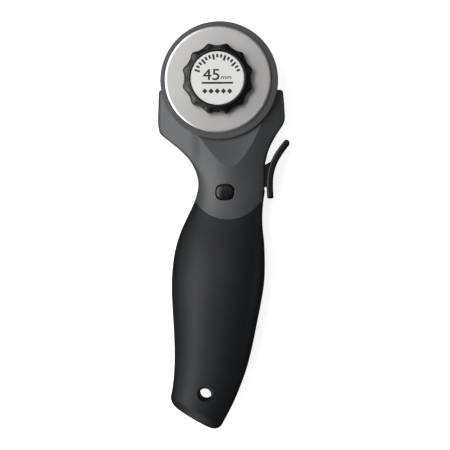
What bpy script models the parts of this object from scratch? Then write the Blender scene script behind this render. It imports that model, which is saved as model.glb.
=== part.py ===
"""Rotary cutter for fabric: a 45 mm round blade, a guard disc that slides back when the finger
trigger is squeezed, and a two-part housing with a soft grip. It lies on its back, blade end at +Y.

Sizes are in millimetres and are scaled to metres where meshes are made. The origin is on the blade's
axis, at the back face of the axle bolt.
"""

import math

import bmesh
import bpy
import numpy as np
from mathutils import Matrix, Vector

MM = 0.001
GAP = 0.3  # clearance between pieces that touch
ROUND = 32  # sides of a turned piece
SMALL_ROUND = 16  # sides of a pin, a post or a screw
DISC_ROUND = 48  # sides of the head's disc and the label's recess
HOLE_ROUND = 24  # sides of the hang hole and its lining
THROUGH_Z = (-6.0, 36.0)  # reach of a cutter that goes right through
MERGE = 0.00001  # metres

# Height of each layer above the table, along Z.
HEAD_BACK = 1.7
HEAD_TOP = 15.1
BOSS_TOP = 17.7
GUARD_Z = (15.5, 17.5)
BLADE_Z = (18.0, 18.3)
WASHER_Z = (18.6, 19.2)
KNOB_Z = (19.5, 25.0)
SLIDER_Z = (8.6, 10.2)
ARM_Z = (6.0, 7.8)
HUB_Z = (5.6, 10.3)
BOW_Z = (4.2, 13.0)
PIVOT_PIN_Z = (3.8, 11.0)
PIVOT_BORE_Z = (3.4, 11.3)
BUSH_BASE = 13.6

# Blade and its mounting.
BLADE_R = 22.5
BLADE_BORE_R = 4.1
BLADE_GRIND = 1.5
BUSH_R = (2.8, 3.8)
BOLT_R = 2.5
BOLT_HEAD_R = 6.5
BOLT_HEAD_H = 1.4
BOSS_R = 5.4
BOLT_TOP = 22.8
BOLT_CHAMFER = 0.4
WASHER_R = 7.5
INSERT_R = 5.4
INSERT_Z = (19.7, 22.8)
INSERT_ROOF = 1.9  # depth of the insert's pocket below the knob's top
EDGE_HALF_T = 0.03  # half the thickness left at the ground edge

# Knob.
KNOB_LOBES = 12
KNOB_PEAK_R = 15.1
KNOB_VALLEY_R = 14.05
KNOB_COLLAR_R = 12.5
KNOB_LOBE_POWER = 1.8
KNOB_PHASE = 15  # degrees from +X to the first lobe
KNOB_STEPS = 6  # points along the edge for each lobe
LABEL_R = 11.45  # radius of the label's recess
LABEL_T = 0.33
LABEL_SUNK = 0.55  # depth of the label's underside below the knob's top
LABEL_RECESS = 0.9

# Guard disc, and the line it slides along, from the blade's axis towards the handle.
GUARD_R = 25.0
GUARD_CENTRE = (0.4, -0.25)
GUARD_TRAVEL = 3.6
SLIDE = Vector((0.124, -0.992, 0.0)).normalized()
LEG_FROM_AXIS = (11.5, 16.5)
LEG_HALF_W = 2.6
LEG_PLAY = 0.4
GUARD_SCREW_R = 0.9
GUARD_SCREW_TOP = 14.4
GUARD_SCREW_HEAD = (2.0, 1.0)  # radius and height

# Slider that carries the guard: its outline, and the tab that pushes the return spring.
SLIDER_OUTLINE = (
    (-3.6, -9.4), (6.0, -9.4), (7.4, -26.0), (10.4, -40.0), (11.2, -52.0), (10.6, -56.0),
    (3.4, -56.0), (-3.4, -53.0), (-3.4, -41.0), (-5.0, -38.0),
)
SLIDER_EAR_R = 2.4
SLIDER_NECK = (-3.0, -28.0)
TAB_AT = 56.3
TAB_SIZE = (5.4, 1.2, 4.2)

# Head disc and the slanted flat that is cut across the front of the housing.
HEAD_R = 17.5
FLAT_SLOPE = 0.05
FLAT_TIP = (-36.6, 15.5)  # Y and Z where the flat runs out at the ridge
FLAT_MIDDLE_Y = -19.0
FLAT_CUTTER = (90.0, 62.0, 20.0)
RIDGE_X = 5.0
RIDGE_LEFT = (2.2, 0.28)  # softness in millimetres, and slope further out
RIDGE_RIGHT_NECK = (3.5, 0.44)
RIDGE_RIGHT_HEAD = (12.0, 0.7)
EAR_FILLET = 0.9
EDGE_LEAST = 0.5  # least height of the upright edges

# Trigger.
PIVOT = (16.0, -42.5)
PIVOT_R = 1.5
HUB_R = 3.4
BOW_LINE = ((28.9, -26.6), (26.4, -29.9), (23.6, -34.8), (22.1, -40.0), (21.8, -45.0), (22.0, -49.4))
BOW_T = 2.7
STEM_OUTLINE = (
    (18.5, -36.4), (19.7, -35.9), (20.8, -35.3), (22.0, -34.6), (23.3, -33.3), (24.5, -31.6),
    (24.8, -33.0), (23.0, -40.0), (22.2, -45.4), (18.5, -45.4),
)
BRIDGE_OUTLINE = ((15.0, -45.3), (19.5, -45.3), (19.5, -37.0), (17.0, -37.6), (15.0, -39.8))
ARM_HALF_W = 2.7
ARM_PAST_PIN = 0.6
DRIVE_PIN = (-3.6, -34.5)
DRIVE_PIN_R = 1.4
DRIVE_SLOT = (-2.0, 0.3)  # ends of the slot's middle line, along the arm from the pin
DRIVE_SLOT_PLAY = 0.4
WINDOW_CENTRE = (20.0, -40.4, 7.9)
WINDOW_SIZE = (9.0, 12.6, 5.4)

# Lock button.
BUTTON = (2.7, -47.6)
BUTTON_HALF = (3.75, 2.95)
BUTTON_CORNER = 2.4
BUTTON_Z = (10.5, 16.0)
BUTTON_STEM_R = 1.5
BUTTON_STEM_BASE = 1.6
DETENT_Z = 7.0
DETENT_WIRE_R = 0.35
HAIRPIN_REST = (2.0, 2.4, 2.6)
HAIRPIN_REST_Z = 5.0

# Handle.
SEAM_CENTRE = (3.9, -42.9)
SEAM_R = 16.4
SEAM_Y = -51.9
SKIN_T = 1.9
WALL_T = 2.0
HOLE = (-5.6, -133.6)
HOLE_R = 3.3
CORE_ROUND = 1.6
LINING_SUNK = 1.2
SCREWS = ((-18.5, -13.0), (20.5, -12.0), (1.0, -78.0), (-4.0, -116.0))
SCREW_R = 1.25
SCREW_HEAD_R = 2.6
SCREW_HEAD_H = 1.6
SCREW_REACH = 2.2  # how far a screw goes past the line where the halves part
SCREW_DEPTHS = (0.6, 2.4)  # below the back face, on the head and under the grip
FRONT_POST_R = 3.2
REAR_POST_R = 4.0
REAR_POST_BASE = 2.6
PIN_POST_R = 3.0
SPRING_SEAT_AT = 73.5
SPRING_SEAT = (7.0, 2.0, 7.4)
SPRING_SEAT_Z = 8.3
SPRING_R = 2.2
SPRING_Z = 9.0
SPRING_SPAN = (57.6, 72.0)  # distance of its ends from the blade's axis
SPRING_WIRE_R = 0.35
SPRING_TURNS = 7
SPRING_STEPS = 10  # points for each turn

# Outline of the handle seen from the front: (Y, X) points down each side.
LEFT = (
    (-3.0, -25.5), (-10.4, -25.9), (-21.3, -25.7), (-22.4, -25.4), (-23.3, -24.5), (-24.6, -22.9),
    (-29.7, -16.6), (-33.1, -13.2), (-36.5, -11.0), (-40.0, -9.6), (-44.2, -8.9), (-48.6, -9.6), (-52.0, -10.7),
    (-57.2, -13.1), (-64.0, -16.2), (-70.9, -18.4), (-79.5, -19.8), (-86.4, -20.2), (-96.6, -19.9),
    (-107.0, -19.3), (-117.3, -19.0), (-124.1, -19.2), (-131.0, -19.9), (-138.2, -21.3),
)
RIGHT = (
    (-3.0, 27.3), (-9.0, 27.9), (-12.4, 28.1), (-17.7, 27.9), (-21.1, 25.8), (-24.6, 23.6),
    (-28.0, 21.9), (-31.4, 20.7), (-34.8, 20.0), (-41.8, 19.8), (-46.9, 19.7), (-52.0, 19.0),
    (-57.2, 18.6), (-62.3, 18.7), (-69.1, 19.4), (-77.3, 19.7), (-86.4, 19.4), (-93.2, 18.4),
    (-103.5, 16.4), (-113.8, 14.3), (-124.1, 11.6), (-131.0, 9.1), (-136.1, 7.0), (-146.4, 1.8),
    (-151.1, -0.7),
)
# (Y, Z) of the front ridge, of the line where the two halves part, and of the back.
CROWN = (
    (-3.0, 20.5), (-22.0, 17.7), (-36.6, 15.5), (-44.0, 14.9), (-50.0, 15.2), (-59.0, 16.8),
    (-70.0, 20.0), (-82.0, 22.3), (-92.0, 22.8), (-105.0, 22.0), (-120.0, 20.2), (-133.0, 18.6),
    (-152.0, 16.5),
)
PARTING = ((-3.0, 8.6), (-50.0, 8.6), (-88.0, 10.2), (-120.0, 10.0), (-152.0, 9.2))
BACK = (
    (-3.0, 1.7), (-20.0, 1.7), (-44.0, 2.6), (-60.0, 1.6), (-75.0, 0.4), (-88.0, 0.0),
    (-102.0, 0.5), (-120.0, 1.9), (-133.0, 3.0), (-152.0, 4.0),
)
SHOULDER_Y = -4.0
TAIL_Y = -144.3  # middle of the slanted butt
TAIL_SLANT = 6.1  # how far each side of the butt is from its middle, along Y
TAIL_SLANT_START = 108.0
TAIL_ROUND = 3.4
OVAL_FRONT = 2.2  # powers of the superellipses across the handle
OVAL_BACK = (2.3, 5.0)
SEAM_REACH = 40.0
WHOLE = (SHOULDER_Y, TAIL_Y)
CORE_Y = (-47.0, TAIL_Y + SKIN_T + 1.0)  # the housing's core inside the grip
CORE_ROOM_Y = (-40.0, TAIL_Y + SKIN_T + 0.8)
WORKS_Y = (-8.0, -50.0)
SPRING_ROOM_Y = (-46.0, -110.0)
BEYOND = 3.0  # how far a cutter goes past the line where the halves part
ROWS_Y = (
    -9, -15, -19, -21.6, -23, -24.8, -28, -32, -36.5, -41, -46, -51, -57, -64, -72, -81, -91,
    -102, -113, -122, -130, -136,
)
COLUMNS = 15

parts = bpy.data.collections.new("rotary_cutter")
helpers = bpy.data.collections.new("rotary_cutter_cutters")


def clear_scene():
    for obj in list(bpy.data.objects):
        bpy.data.objects.remove(obj, do_unlink=True)
    for collection in (parts, helpers):
        bpy.context.scene.collection.children.link(collection)


# Materials and objects -------------------------------------------------------------------------


def paint(name, colour, roughness, metallic=0.0):
    material = bpy.data.materials.new(name)
    material.use_nodes = True
    shader = material.node_tree.nodes["Principled BSDF"]
    shader.inputs["Base Color"].default_value = (*colour, 1.0)
    shader.inputs["Roughness"].default_value = roughness
    shader.inputs["Metallic"].default_value = metallic
    material.diffuse_color = (*colour, 1.0)
    return material


def smooth_shade(mesh, degrees=35.0):
    """Smooth shading, with the edges above an angle kept sharp."""
    mesh.shade_smooth()
    mesh.set_sharp_from_angle(angle=math.radians(degrees))


def add_object(name, mesh, material=None):
    """Links a mesh made in millimetres as a piece in metres, or without a material as a helper."""
    mesh.transform(Matrix.Scale(MM, 4))
    obj = bpy.data.objects.new(name, mesh)
    if material is None:
        helpers.objects.link(obj)
        obj.hide_render = True
        obj.display_type = "WIRE"
    else:
        parts.objects.link(obj)
        mesh.materials.append(material)
        smooth_shade(mesh)
    return obj


def finish_bmesh(name, bm, material=None):
    bmesh.ops.recalc_face_normals(bm, faces=bm.faces)
    mesh = bpy.data.meshes.new(name)
    bm.to_mesh(mesh)
    bm.free()
    return add_object(name, mesh, material)


def hang_on_axis(name, x, y, z, members):
    """Parents the pieces of one moving body to an empty on its joint axis."""
    empty = bpy.data.objects.new(name, None)
    empty.empty_display_size = 10 * MM
    empty.location = Vector((x, y, z)) * MM
    parts.objects.link(empty)
    for obj in members:
        obj.parent = empty
        obj.matrix_parent_inverse = Matrix.Translation(empty.location).inverted()


def boolean(obj, other, operation):
    modifier = obj.modifiers.new(f"{operation.lower()}_{other.name}", "BOOLEAN")
    modifier.operation = operation
    modifier.object = other
    modifier.solver = "EXACT"


def cut(obj, *others):
    for other in others:
        boolean(obj, other, "DIFFERENCE")


def join(obj, *others):
    for other in others:
        boolean(obj, other, "UNION")


# Shapes ----------------------------------------------------------------------------------------


def cylinder(name, centre, heights, radius, sides=SMALL_ROUND, top=None):
    """A helper cylinder, or a cone when its top has a radius of its own."""
    bm = bmesh.new()
    low, high = heights
    bmesh.ops.create_cone(
        bm, cap_ends=True, segments=sides, radius1=radius, radius2=top or radius,
        depth=high - low, matrix=Matrix.Translation((*centre, (low + high) / 2)),
    )
    return finish_bmesh(name, bm)


def box(name, centre, size, turn=Matrix.Identity(4)):
    """A helper box."""
    bm = bmesh.new()
    bmesh.ops.create_cube(bm, size=1.0, matrix=Matrix.Diagonal((*size, 1.0)))
    bmesh.ops.transform(bm, matrix=Matrix.Translation(centre) @ turn, verts=bm.verts)
    return finish_bmesh(name, bm)


def turned(name, profile, material, centre=(0.0, 0.0), closed=True, steps=ROUND):
    """A Screw modifier on (radius, Z) points that run down the outer side."""
    mesh = bpy.data.meshes.new(name)
    count = len(profile)
    edges = [(i, (i + 1) % count) for i in range(count if closed else count - 1)]
    mesh.from_pydata([(r, 0.0, z) for r, z in profile], edges, [])
    obj = add_object(name, mesh, material)
    obj.location = (centre[0] * MM, centre[1] * MM, 0.0)
    screw = obj.modifiers.new("turn", "SCREW")
    screw.steps = steps
    screw.render_steps = steps
    screw.use_merge_vertices = True
    screw.merge_threshold = MERGE
    return obj


def plate(name, outlines, heights, material=None):
    """A flat outline, with any holes as further outlines, given its thickness along Z."""
    curve = bpy.data.curves.new(name, "CURVE")
    curve.dimensions = "2D"
    curve.fill_mode = "BOTH"
    curve.extrude = (heights[1] - heights[0]) / 2
    for outline in outlines:
        spline = curve.splines.new("POLY")
        spline.points.add(len(outline) - 1)
        for point, (x, y) in zip(spline.points, outline):
            point.co = (x, y, 0.0, 1.0)
        spline.use_cyclic_u = True
    shape = bpy.data.objects.new(name, curve)
    bpy.context.scene.collection.objects.link(shape)
    graph = bpy.context.evaluated_depsgraph_get()
    mesh = bpy.data.meshes.new_from_object(shape.evaluated_get(graph))
    bpy.data.objects.remove(shape)
    bm = bmesh.new()
    bm.from_mesh(mesh)
    bmesh.ops.remove_doubles(bm, verts=bm.verts, dist=0.0005)
    bmesh.ops.translate(bm, verts=bm.verts, vec=(0.0, 0.0, (heights[0] + heights[1]) / 2))
    return finish_bmesh(name, bm, material)


def arc(centre, radius, start, end, steps):
    """Points on a circle from one angle to another, in degrees."""
    angles = [math.radians(start + (end - start) * i / steps) for i in range(steps + 1)]
    return [(centre[0] + radius * math.cos(a), centre[1] + radius * math.sin(a)) for a in angles]


def slot_outline(start, end, half_width, steps=8):
    """A slot with round ends between two points."""
    heading = math.degrees(math.atan2(end[1] - start[1], end[0] - start[0]))
    return arc(end, half_width, heading - 90, heading + 90, steps) + arc(
        start, half_width, heading + 90, heading + 270, steps
    )


def rounded_rectangle(centre, half, corner, steps=5):
    outline = []
    for sign_x, sign_y, start in ((1, 1, 0), (-1, 1, 90), (-1, -1, 180), (1, -1, 270)):
        middle = (centre[0] + sign_x * (half[0] - corner), centre[1] + sign_y * (half[1] - corner))
        outline += arc(middle, corner, start, start + 90, steps)
    return outline


def along_slide(distance):
    return (SLIDE.x * distance, SLIDE.y * distance)


def ribbon_outline(line, thickness, steps=4):
    """A strip of even thickness with round ends, along a smooth line through the points."""
    ys = np.linspace(line[0][1], line[-1][1], 3 * len(line) - 2)
    middle = np.array([(curve_at([(y, x) for x, y in line], y), y) for y in ys])
    heading = np.gradient(middle, axis=0)
    heading /= np.linalg.norm(heading, axis=1)[:, None]
    side = np.stack([heading[:, 1], -heading[:, 0]], axis=1) * thickness / 2
    outline = [tuple(p) for p in middle + side]
    outline += half_circle(middle[-1], side[-1], steps)
    outline += [tuple(p) for p in (middle - side)[::-1]]
    outline += half_circle(middle[0], -side[0], steps)
    return outline


def half_circle(centre, spoke, steps):
    """Points between the ends of a half turn that starts at a spoke's tip."""
    start = math.degrees(math.atan2(spoke[1], spoke[0]))
    return arc(centre, math.hypot(*spoke), start, start + 180, steps)[1:-1]


# Handle surface --------------------------------------------------------------------------------


def curve_at(points, y):
    """Value at y of a smooth curve through (y, value) points, given from the head down."""
    ys, values = np.array(points[::-1], float).T
    slopes = np.gradient(values, ys)
    i = int(np.clip(np.searchsorted(ys, y) - 1, 0, len(ys) - 2))
    span = ys[i + 1] - ys[i]
    t = (y - ys[i]) / span
    return float(
        values[i] * (2 * t**3 - 3 * t**2 + 1)
        + slopes[i] * span * (t**3 - 2 * t**2 + t)
        + values[i + 1] * (3 * t**2 - 2 * t**3)
        + slopes[i + 1] * span * (t**3 - t**2)
    )


def ramp(y, start, end):
    """0 before start, 1 after end, and smooth between them."""
    t = min(max((y - start) / (end - start), 0.0), 1.0)
    return t * t * (3 - 2 * t)


def oval(mid, half, height, power):
    """Offsets (x, z) over half of a superellipse, left to right."""
    angles = np.linspace(0, math.pi, COLUMNS)
    cosines, sines = np.cos(angles), np.clip(np.sin(angles), 0, 1)
    xs = mid - half * np.sign(cosines) * np.abs(cosines) ** (2 / power)
    return xs, height * sines ** (2 / power)


def ridged(y, mid, half, height):
    """Offsets (x, z) over the head's front: a soft ridge that falls away to two upright edges."""
    angles = np.linspace(0, math.pi, COLUMNS - 2)
    xs = np.concatenate([[mid - half], mid - half * np.cos(angles), [mid + half]])
    away = xs - RIDGE_X
    neck, head = np.array(RIDGE_RIGHT_NECK), np.array(RIDGE_RIGHT_HEAD)
    right = neck + (head - neck) * ramp(y, -44.0, -36.0)
    softness = np.where(away < 0, RIDGE_LEFT[0], right[0])
    slope = np.where(away < 0, RIDGE_LEFT[1], right[1])
    zs = height + softness - np.sqrt(softness**2 + (slope * away) ** 2)
    zs[[1, -2]] -= EAR_FILLET
    zs = np.maximum(zs, EDGE_LEAST)
    zs[[0, -1]] = 0.0
    return xs, zs


def half_row(y, side, inset, shrink, beyond):
    """One closed row of points round the front (side 1) or rear (side -1) half of the handle."""
    slant = TAIL_SLANT * ramp(-y, TAIL_SLANT_START, -TAIL_Y)
    left, right = curve_at(LEFT, y + slant), curve_at(RIGHT, y - slant)
    mid, half = (left + right) / 2, (right - left) / 2
    parting = curve_at(PARTING, y)
    height = abs(curve_at(CROWN if side > 0 else BACK, y) - parting)
    width = half - inset - shrink
    tall = height - inset - shrink - GAP / 2
    square = OVAL_BACK[0] + (OVAL_BACK[1] - OVAL_BACK[0]) * ramp(y, -64.0, -34.0)
    xs, zs = oval(mid, width, tall, OVAL_FRONT if side > 0 else square)
    if side > 0:
        ridge_xs, ridge_zs = ridged(y, mid, width, tall)
        head = np.where(ridge_xs < RIDGE_X, ramp(y, -50.0, -30.0), ramp(y, -66.0, -34.0))
        xs = xs + (ridge_xs - xs) * head
        zs = zs + (ridge_zs - zs) * head
    if side > 0 and inset > 0 and y > SEAM_Y:
        zs = np.minimum(zs, max(flat_height(y) - parting - inset, WALL_T))
    zs = parting + side * (zs + GAP / 2)
    if beyond > 0:
        zs[[0, -1]] = parting - side * beyond
    ys = y - slant * (xs - mid) / half
    return np.stack([xs, ys, zs], axis=1)


def flat_height(y):
    """Height of the slanted flat cut across the head."""
    return FLAT_TIP[1] - FLAT_SLOPE * (y - FLAT_TIP[0])


def surface_height(x, y, side, inset=0.0):
    """Height of the front (side 1) or rear (side -1) surface, or of a smaller copy of it, at a point."""
    row = half_row(y, side, inset, 0.0, 0.0)
    height = float(np.interp(x, row[:, 0], row[:, 2]))
    return min(height, flat_height(y) - inset) if side > 0 and y > SEAM_Y else height


def loft_rows(start, end, rounding):
    """Places down the handle, each with how much smaller its row is, so that both ends are rounded."""
    soft = min(rounding, 1.0)
    rows = [(start, soft), (start - 0.3 * soft, 0.3 * soft), (start - soft, 0.0)]
    rows += [(y, 0.0) for y in ROWS_Y if end + rounding + 0.5 < y < start - 1.2]
    for degrees in (0, 30, 60, 90):
        angle = math.radians(degrees)
        rows.append((end + rounding * (1 - math.sin(angle)), rounding * (1 - math.cos(angle))))
    return rows


def skin(bm, rows):
    """A closed solid through rows of points that have the same count."""
    rings = [[bm.verts.new(p) for p in row] for row in rows]
    for first, second in zip(rings, rings[1:]):
        for i in range(len(first)):
            j = (i + 1) % len(first)
            bm.faces.new((first[i], first[j], second[j], second[i]))
    bm.faces.new(rings[0])
    bm.faces.new(rings[-1])


def half_loft(name, side, material=None, inset=0.0, span=WHOLE, rounding=TAIL_ROUND, beyond=0.0):
    """The front or rear half of the handle as a solid, or a smaller and shorter copy of it."""
    bm = bmesh.new()
    skin(bm, [half_row(y, side, inset, shrink, beyond) for y, shrink in loft_rows(*span, rounding)])
    return finish_bmesh(name, bm, material)


def seam_line(grow=0.0):
    """The seam seen from the front: straight at the sides and a bowl between."""
    reach = math.sqrt(SEAM_R**2 - (SEAM_Y - SEAM_CENTRE[1]) ** 2)
    angle = math.degrees(math.atan2(SEAM_Y - SEAM_CENTRE[1], reach))
    bowl = arc(SEAM_CENTRE, SEAM_R + grow, 180 - angle, 360 + angle, 20)
    bowl = [(x, min(y, SEAM_Y - grow)) for x, y in bowl]
    return [(-SEAM_REACH, bowl[0][1])] + bowl + [(SEAM_REACH, bowl[-1][1])]


# Housing and grip ------------------------------------------------------------------------------


def flat_cutter():
    """The block that planes the slanted flat across the head."""
    turn = Matrix.Rotation(math.atan(-FLAT_SLOPE), 4, "X")
    middle = (0.0, FLAT_MIDDLE_Y, flat_height(FLAT_MIDDLE_Y) + FLAT_CUTTER[2] / 2)
    return box("cut_flat", middle, FLAT_CUTTER, turn)


def housing_half(name, side, material):
    """One half of the hard housing: the full head, and a core that runs on inside the grip."""
    body = half_loft(name, side, material)
    grip_side = seam_line() + [(SEAM_REACH, -170.0), (-SEAM_REACH, -170.0)]
    cut(body, plate(f"cut_{name}_below_seam", [grip_side], THROUGH_Z))
    join(body, half_loft(f"add_{name}_core", side, None, SKIN_T + GAP, CORE_Y, CORE_ROUND))
    return body


def hollow_out(body, side):
    """Cuts the space for the works in the head, and the space in the core for the return spring."""
    inset = SKIN_T + GAP + WALL_T
    cut(body, half_loft(f"cut_{body.name}_works", side, None, WALL_T, WORKS_Y, 1.0, BEYOND))
    cut(body, half_loft(f"cut_{body.name}_core", side, None, inset, SPRING_ROOM_Y, 1.0, BEYOND))


def build_housing(materials):
    parting = PARTING[0][1]
    front = housing_half("front_housing", 1, materials["grey"])
    rear = housing_half("rear_housing", -1, materials["grey"])
    cut(front, flat_cutter())
    join(front, cylinder("add_front_disc", (0, 0), (parting + GAP / 2, HEAD_TOP), HEAD_R, DISC_ROUND))
    join(rear, cylinder("add_rear_disc", (0, 0), (HEAD_BACK, parting - GAP / 2), HEAD_R, DISC_ROUND))
    hollow_out(front, 1)
    hollow_out(rear, -1)
    add_screw_posts(front, rear)
    add_bosses(front, rear)
    cut_openings(front, rear)
    cut_holes(front, rear)


def add_screw_posts(front, rear):
    for i, (x, y) in enumerate(SCREWS, 1):
        parting = curve_at(PARTING, y)
        ceiling = surface_height(x, y, 1, 1.0 if y > SEAM_Y else SKIN_T + GAP + 1.0)
        floor = curve_at(BACK, y) + REAR_POST_BASE
        join(front, cylinder(f"add_front_post_{i}", (x, y), (parting + GAP / 2, ceiling), FRONT_POST_R))
        join(rear, cylinder(f"add_rear_post_{i}", (x, y), (floor, parting - GAP / 2), REAR_POST_R))


def add_bosses(front, rear):
    """The posts that hold the trigger's pin, the axle's boss, and the seats of both springs."""
    floor = surface_height(*PIVOT, -1) + 1.2
    join(front, cylinder("add_front_pin_post", PIVOT, (HUB_Z[1] + GAP, PIVOT_PIN_Z[1]), PIN_POST_R))
    join(rear, cylinder("add_rear_pin_post", PIVOT, (floor, HUB_Z[0] - GAP), PIN_POST_R))
    join(front, cylinder("add_front_boss", (0, 0), (HEAD_TOP - 1.0, BOSS_TOP), BOSS_R, ROUND))
    seat = along_slide(SPRING_SEAT_AT)
    join(rear, box("add_spring_seat", (*seat, SPRING_SEAT_Z), SPRING_SEAT))
    for side in (-1, 1):
        rest = (BUTTON[0] + side * (BUTTON_STEM_R + 1.2), BUTTON[1] - 3.4, HAIRPIN_REST_Z)
        join(rear, box(f"add_hairpin_rest_{side}", rest, HAIRPIN_REST))


def cut_openings(front, rear):
    """The axle's bores, the guard leg's slot, the button's holes and the trigger's window."""
    cut(front, cylinder("cut_front_axle", (0, 0), THROUGH_Z, BUSH_R[1] + GAP, ROUND))
    cut(rear, cylinder("cut_rear_axle", (0, 0), THROUGH_Z, BOLT_R + GAP, ROUND))
    leg = [along_slide(LEG_FROM_AXIS[0]), along_slide(LEG_FROM_AXIS[1] + GUARD_TRAVEL)]
    cut(front, plate("cut_leg_slot", [slot_outline(*leg, LEG_HALF_W + LEG_PLAY)], THROUGH_Z))
    button = rounded_rectangle(BUTTON, [h + GAP for h in BUTTON_HALF], BUTTON_CORNER + GAP)
    cut(front, plate("cut_button", [button], THROUGH_Z))
    cut(rear, cylinder("cut_button_stem", BUTTON, THROUGH_Z, BUTTON_STEM_R + GAP))
    window = box("cut_trigger_window", WINDOW_CENTRE, WINDOW_SIZE)
    pin_bore = cylinder("cut_pivot_pin", PIVOT, PIVOT_BORE_Z, PIVOT_R + GAP)
    for half in (front, rear):
        cut(half, window, pin_bore)


def cut_holes(front, rear):
    """The screws' bores and sunk heads, and the room for the hang hole's lining."""
    for i, (x, y) in enumerate(SCREWS, 1):
        bore_top = curve_at(PARTING, y) + SCREW_REACH + 0.4
        bore = cylinder(f"cut_screw_{i}", (x, y), (THROUGH_Z[0], bore_top), SCREW_R + GAP)
        head_top = curve_at(BACK, y) + screw_depth(y) + SCREW_HEAD_H + GAP
        sink = cylinder(f"cut_screw_head_{i}", (x, y), (THROUGH_Z[0], head_top), SCREW_HEAD_R + GAP)
        cut(front, bore)
        cut(rear, bore, sink)
    hole = cylinder("cut_hang_hole", HOLE, THROUGH_Z, HOLE_R + SKIN_T + GAP, HOLE_ROUND)
    cut(front, hole)
    cut(rear, hole)


def screw_depth(y):
    """How far a screw's head lies inside the back face: deeper where the soft grip covers it."""
    return SCREW_DEPTHS[0] if y > SEAM_Y else SCREW_DEPTHS[1]


def grip_half(name, side, material):
    """One soft skin, hollow for the housing's core, with its half of the hang hole's lining."""
    half = half_loft(name, side, material)
    head_side = seam_line(GAP) + [(SEAM_REACH, 30.0), (-SEAM_REACH, 30.0)]
    cut(half, plate(f"cut_{name}_head", [head_side], THROUGH_Z))
    cut(half, half_loft(f"cut_{name}_core", side, None, SKIN_T, CORE_ROOM_Y, CORE_ROUND, BEYOND))
    near = curve_at(PARTING, HOLE[1]) + side * GAP / 2
    far = curve_at(CROWN if side > 0 else BACK, HOLE[1]) - side * LINING_SUNK
    lining = (min(near, far), max(near, far))
    join(half, cylinder(f"add_{name}_lining", HOLE, lining, HOLE_R + SKIN_T, HOLE_ROUND))
    cut(half, cylinder(f"cut_{name}_hole", HOLE, THROUGH_Z, HOLE_R, HOLE_ROUND))
    return half


def build_grip(materials):
    """The two soft skins, which wrap the housing's core and line the hang hole."""
    grip_half("front_grip", 1, materials["rubber"])
    rear = grip_half("rear_grip", -1, materials["rubber"])
    for i, (x, y) in enumerate(SCREWS, 1):
        if y < SEAM_Y:
            cut(rear, cylinder(f"cut_grip_screw_{i}", (x, y), THROUGH_Z, SCREW_HEAD_R + 2 * GAP))


# Cutting head ----------------------------------------------------------------------------------


def build_blade(materials):
    low, high = BLADE_Z
    middle = (low + high) / 2
    profile = [
        (BLADE_BORE_R, high), (BLADE_R - BLADE_GRIND, high), (BLADE_R, middle + EDGE_HALF_T),
        (BLADE_R, middle - EDGE_HALF_T), (BLADE_R - BLADE_GRIND, low), (BLADE_BORE_R, low),
    ]
    return turned("blade", profile, materials["steel"])


def ring(name, radii, heights, material):
    inner, outer = radii
    low, high = heights
    return turned(name, [(inner, high), (outer, high), (outer, low), (inner, low)], material)


def build_axle_bolt(materials):
    soft = BOLT_CHAMFER
    profile = [
        (0.0, BOLT_TOP), (BOLT_R - soft, BOLT_TOP), (BOLT_R, BOLT_TOP - soft), (BOLT_R, BOLT_HEAD_H),
        (BOLT_HEAD_R, BOLT_HEAD_H), (BOLT_HEAD_R, soft), (BOLT_HEAD_R - soft, 0.0), (0.0, 0.0),
    ]
    return turned("axle_bolt", profile, materials["bright"], closed=False)


def knob_radius(angle, fade):
    """Radius of the knob's lobed edge, where fade runs from full lobes (0) to none (1)."""
    wave = 0.5 + 0.5 * math.cos(KNOB_LOBES * (angle - math.radians(KNOB_PHASE)))
    lobe = wave**KNOB_LOBE_POWER
    depth = KNOB_PEAK_R - KNOB_VALLEY_R
    return KNOB_VALLEY_R + depth * lobe * (1 - fade) + (KNOB_COLLAR_R - KNOB_VALLEY_R) * fade


def build_knob(materials):
    """The lobed knob: rings of points that go from the lobed skirt to the round collar."""
    low, high = KNOB_Z
    count = KNOB_LOBES * KNOB_STEPS
    angles = [2 * math.pi * i / count for i in range(count)]
    rows = []
    for z, fade in ((low, 0.0), (high - 2.0, 0.0), (high - 1.5, 0.35), (high - 0.6, 1.0), (high, 1.05)):
        radii = [knob_radius(angle, fade) for angle in angles]
        rows.append([(r * math.cos(angle), r * math.sin(angle), z) for r, angle in zip(radii, angles)])
    bm = bmesh.new()
    skin(bm, rows)
    knob = finish_bmesh("knob", bm, materials["black"])
    recess = (high - LABEL_RECESS, high + 5)
    cut(knob, cylinder("cut_label_recess", (0, 0), recess, LABEL_R, DISC_ROUND))
    cut(knob, cylinder("cut_insert_pocket", (0, 0), (low - 5, high - INSERT_ROOF), INSERT_R + GAP, ROUND))
    return knob


def build_insert(materials):
    """Round threaded bush that is moulded into the knob."""
    return ring("knob_insert", (BOLT_R + GAP, INSERT_R), INSERT_Z, materials["brass"])


def build_label(materials):
    radius = LABEL_R - GAP
    bottom = KNOB_Z[1] - LABEL_SUNK
    top = bottom + LABEL_T
    profile = [(0.0, top), (radius, top), (radius, bottom), (0.0, bottom)]
    return turned("knob_label", profile, materials["label"], closed=False)


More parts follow.
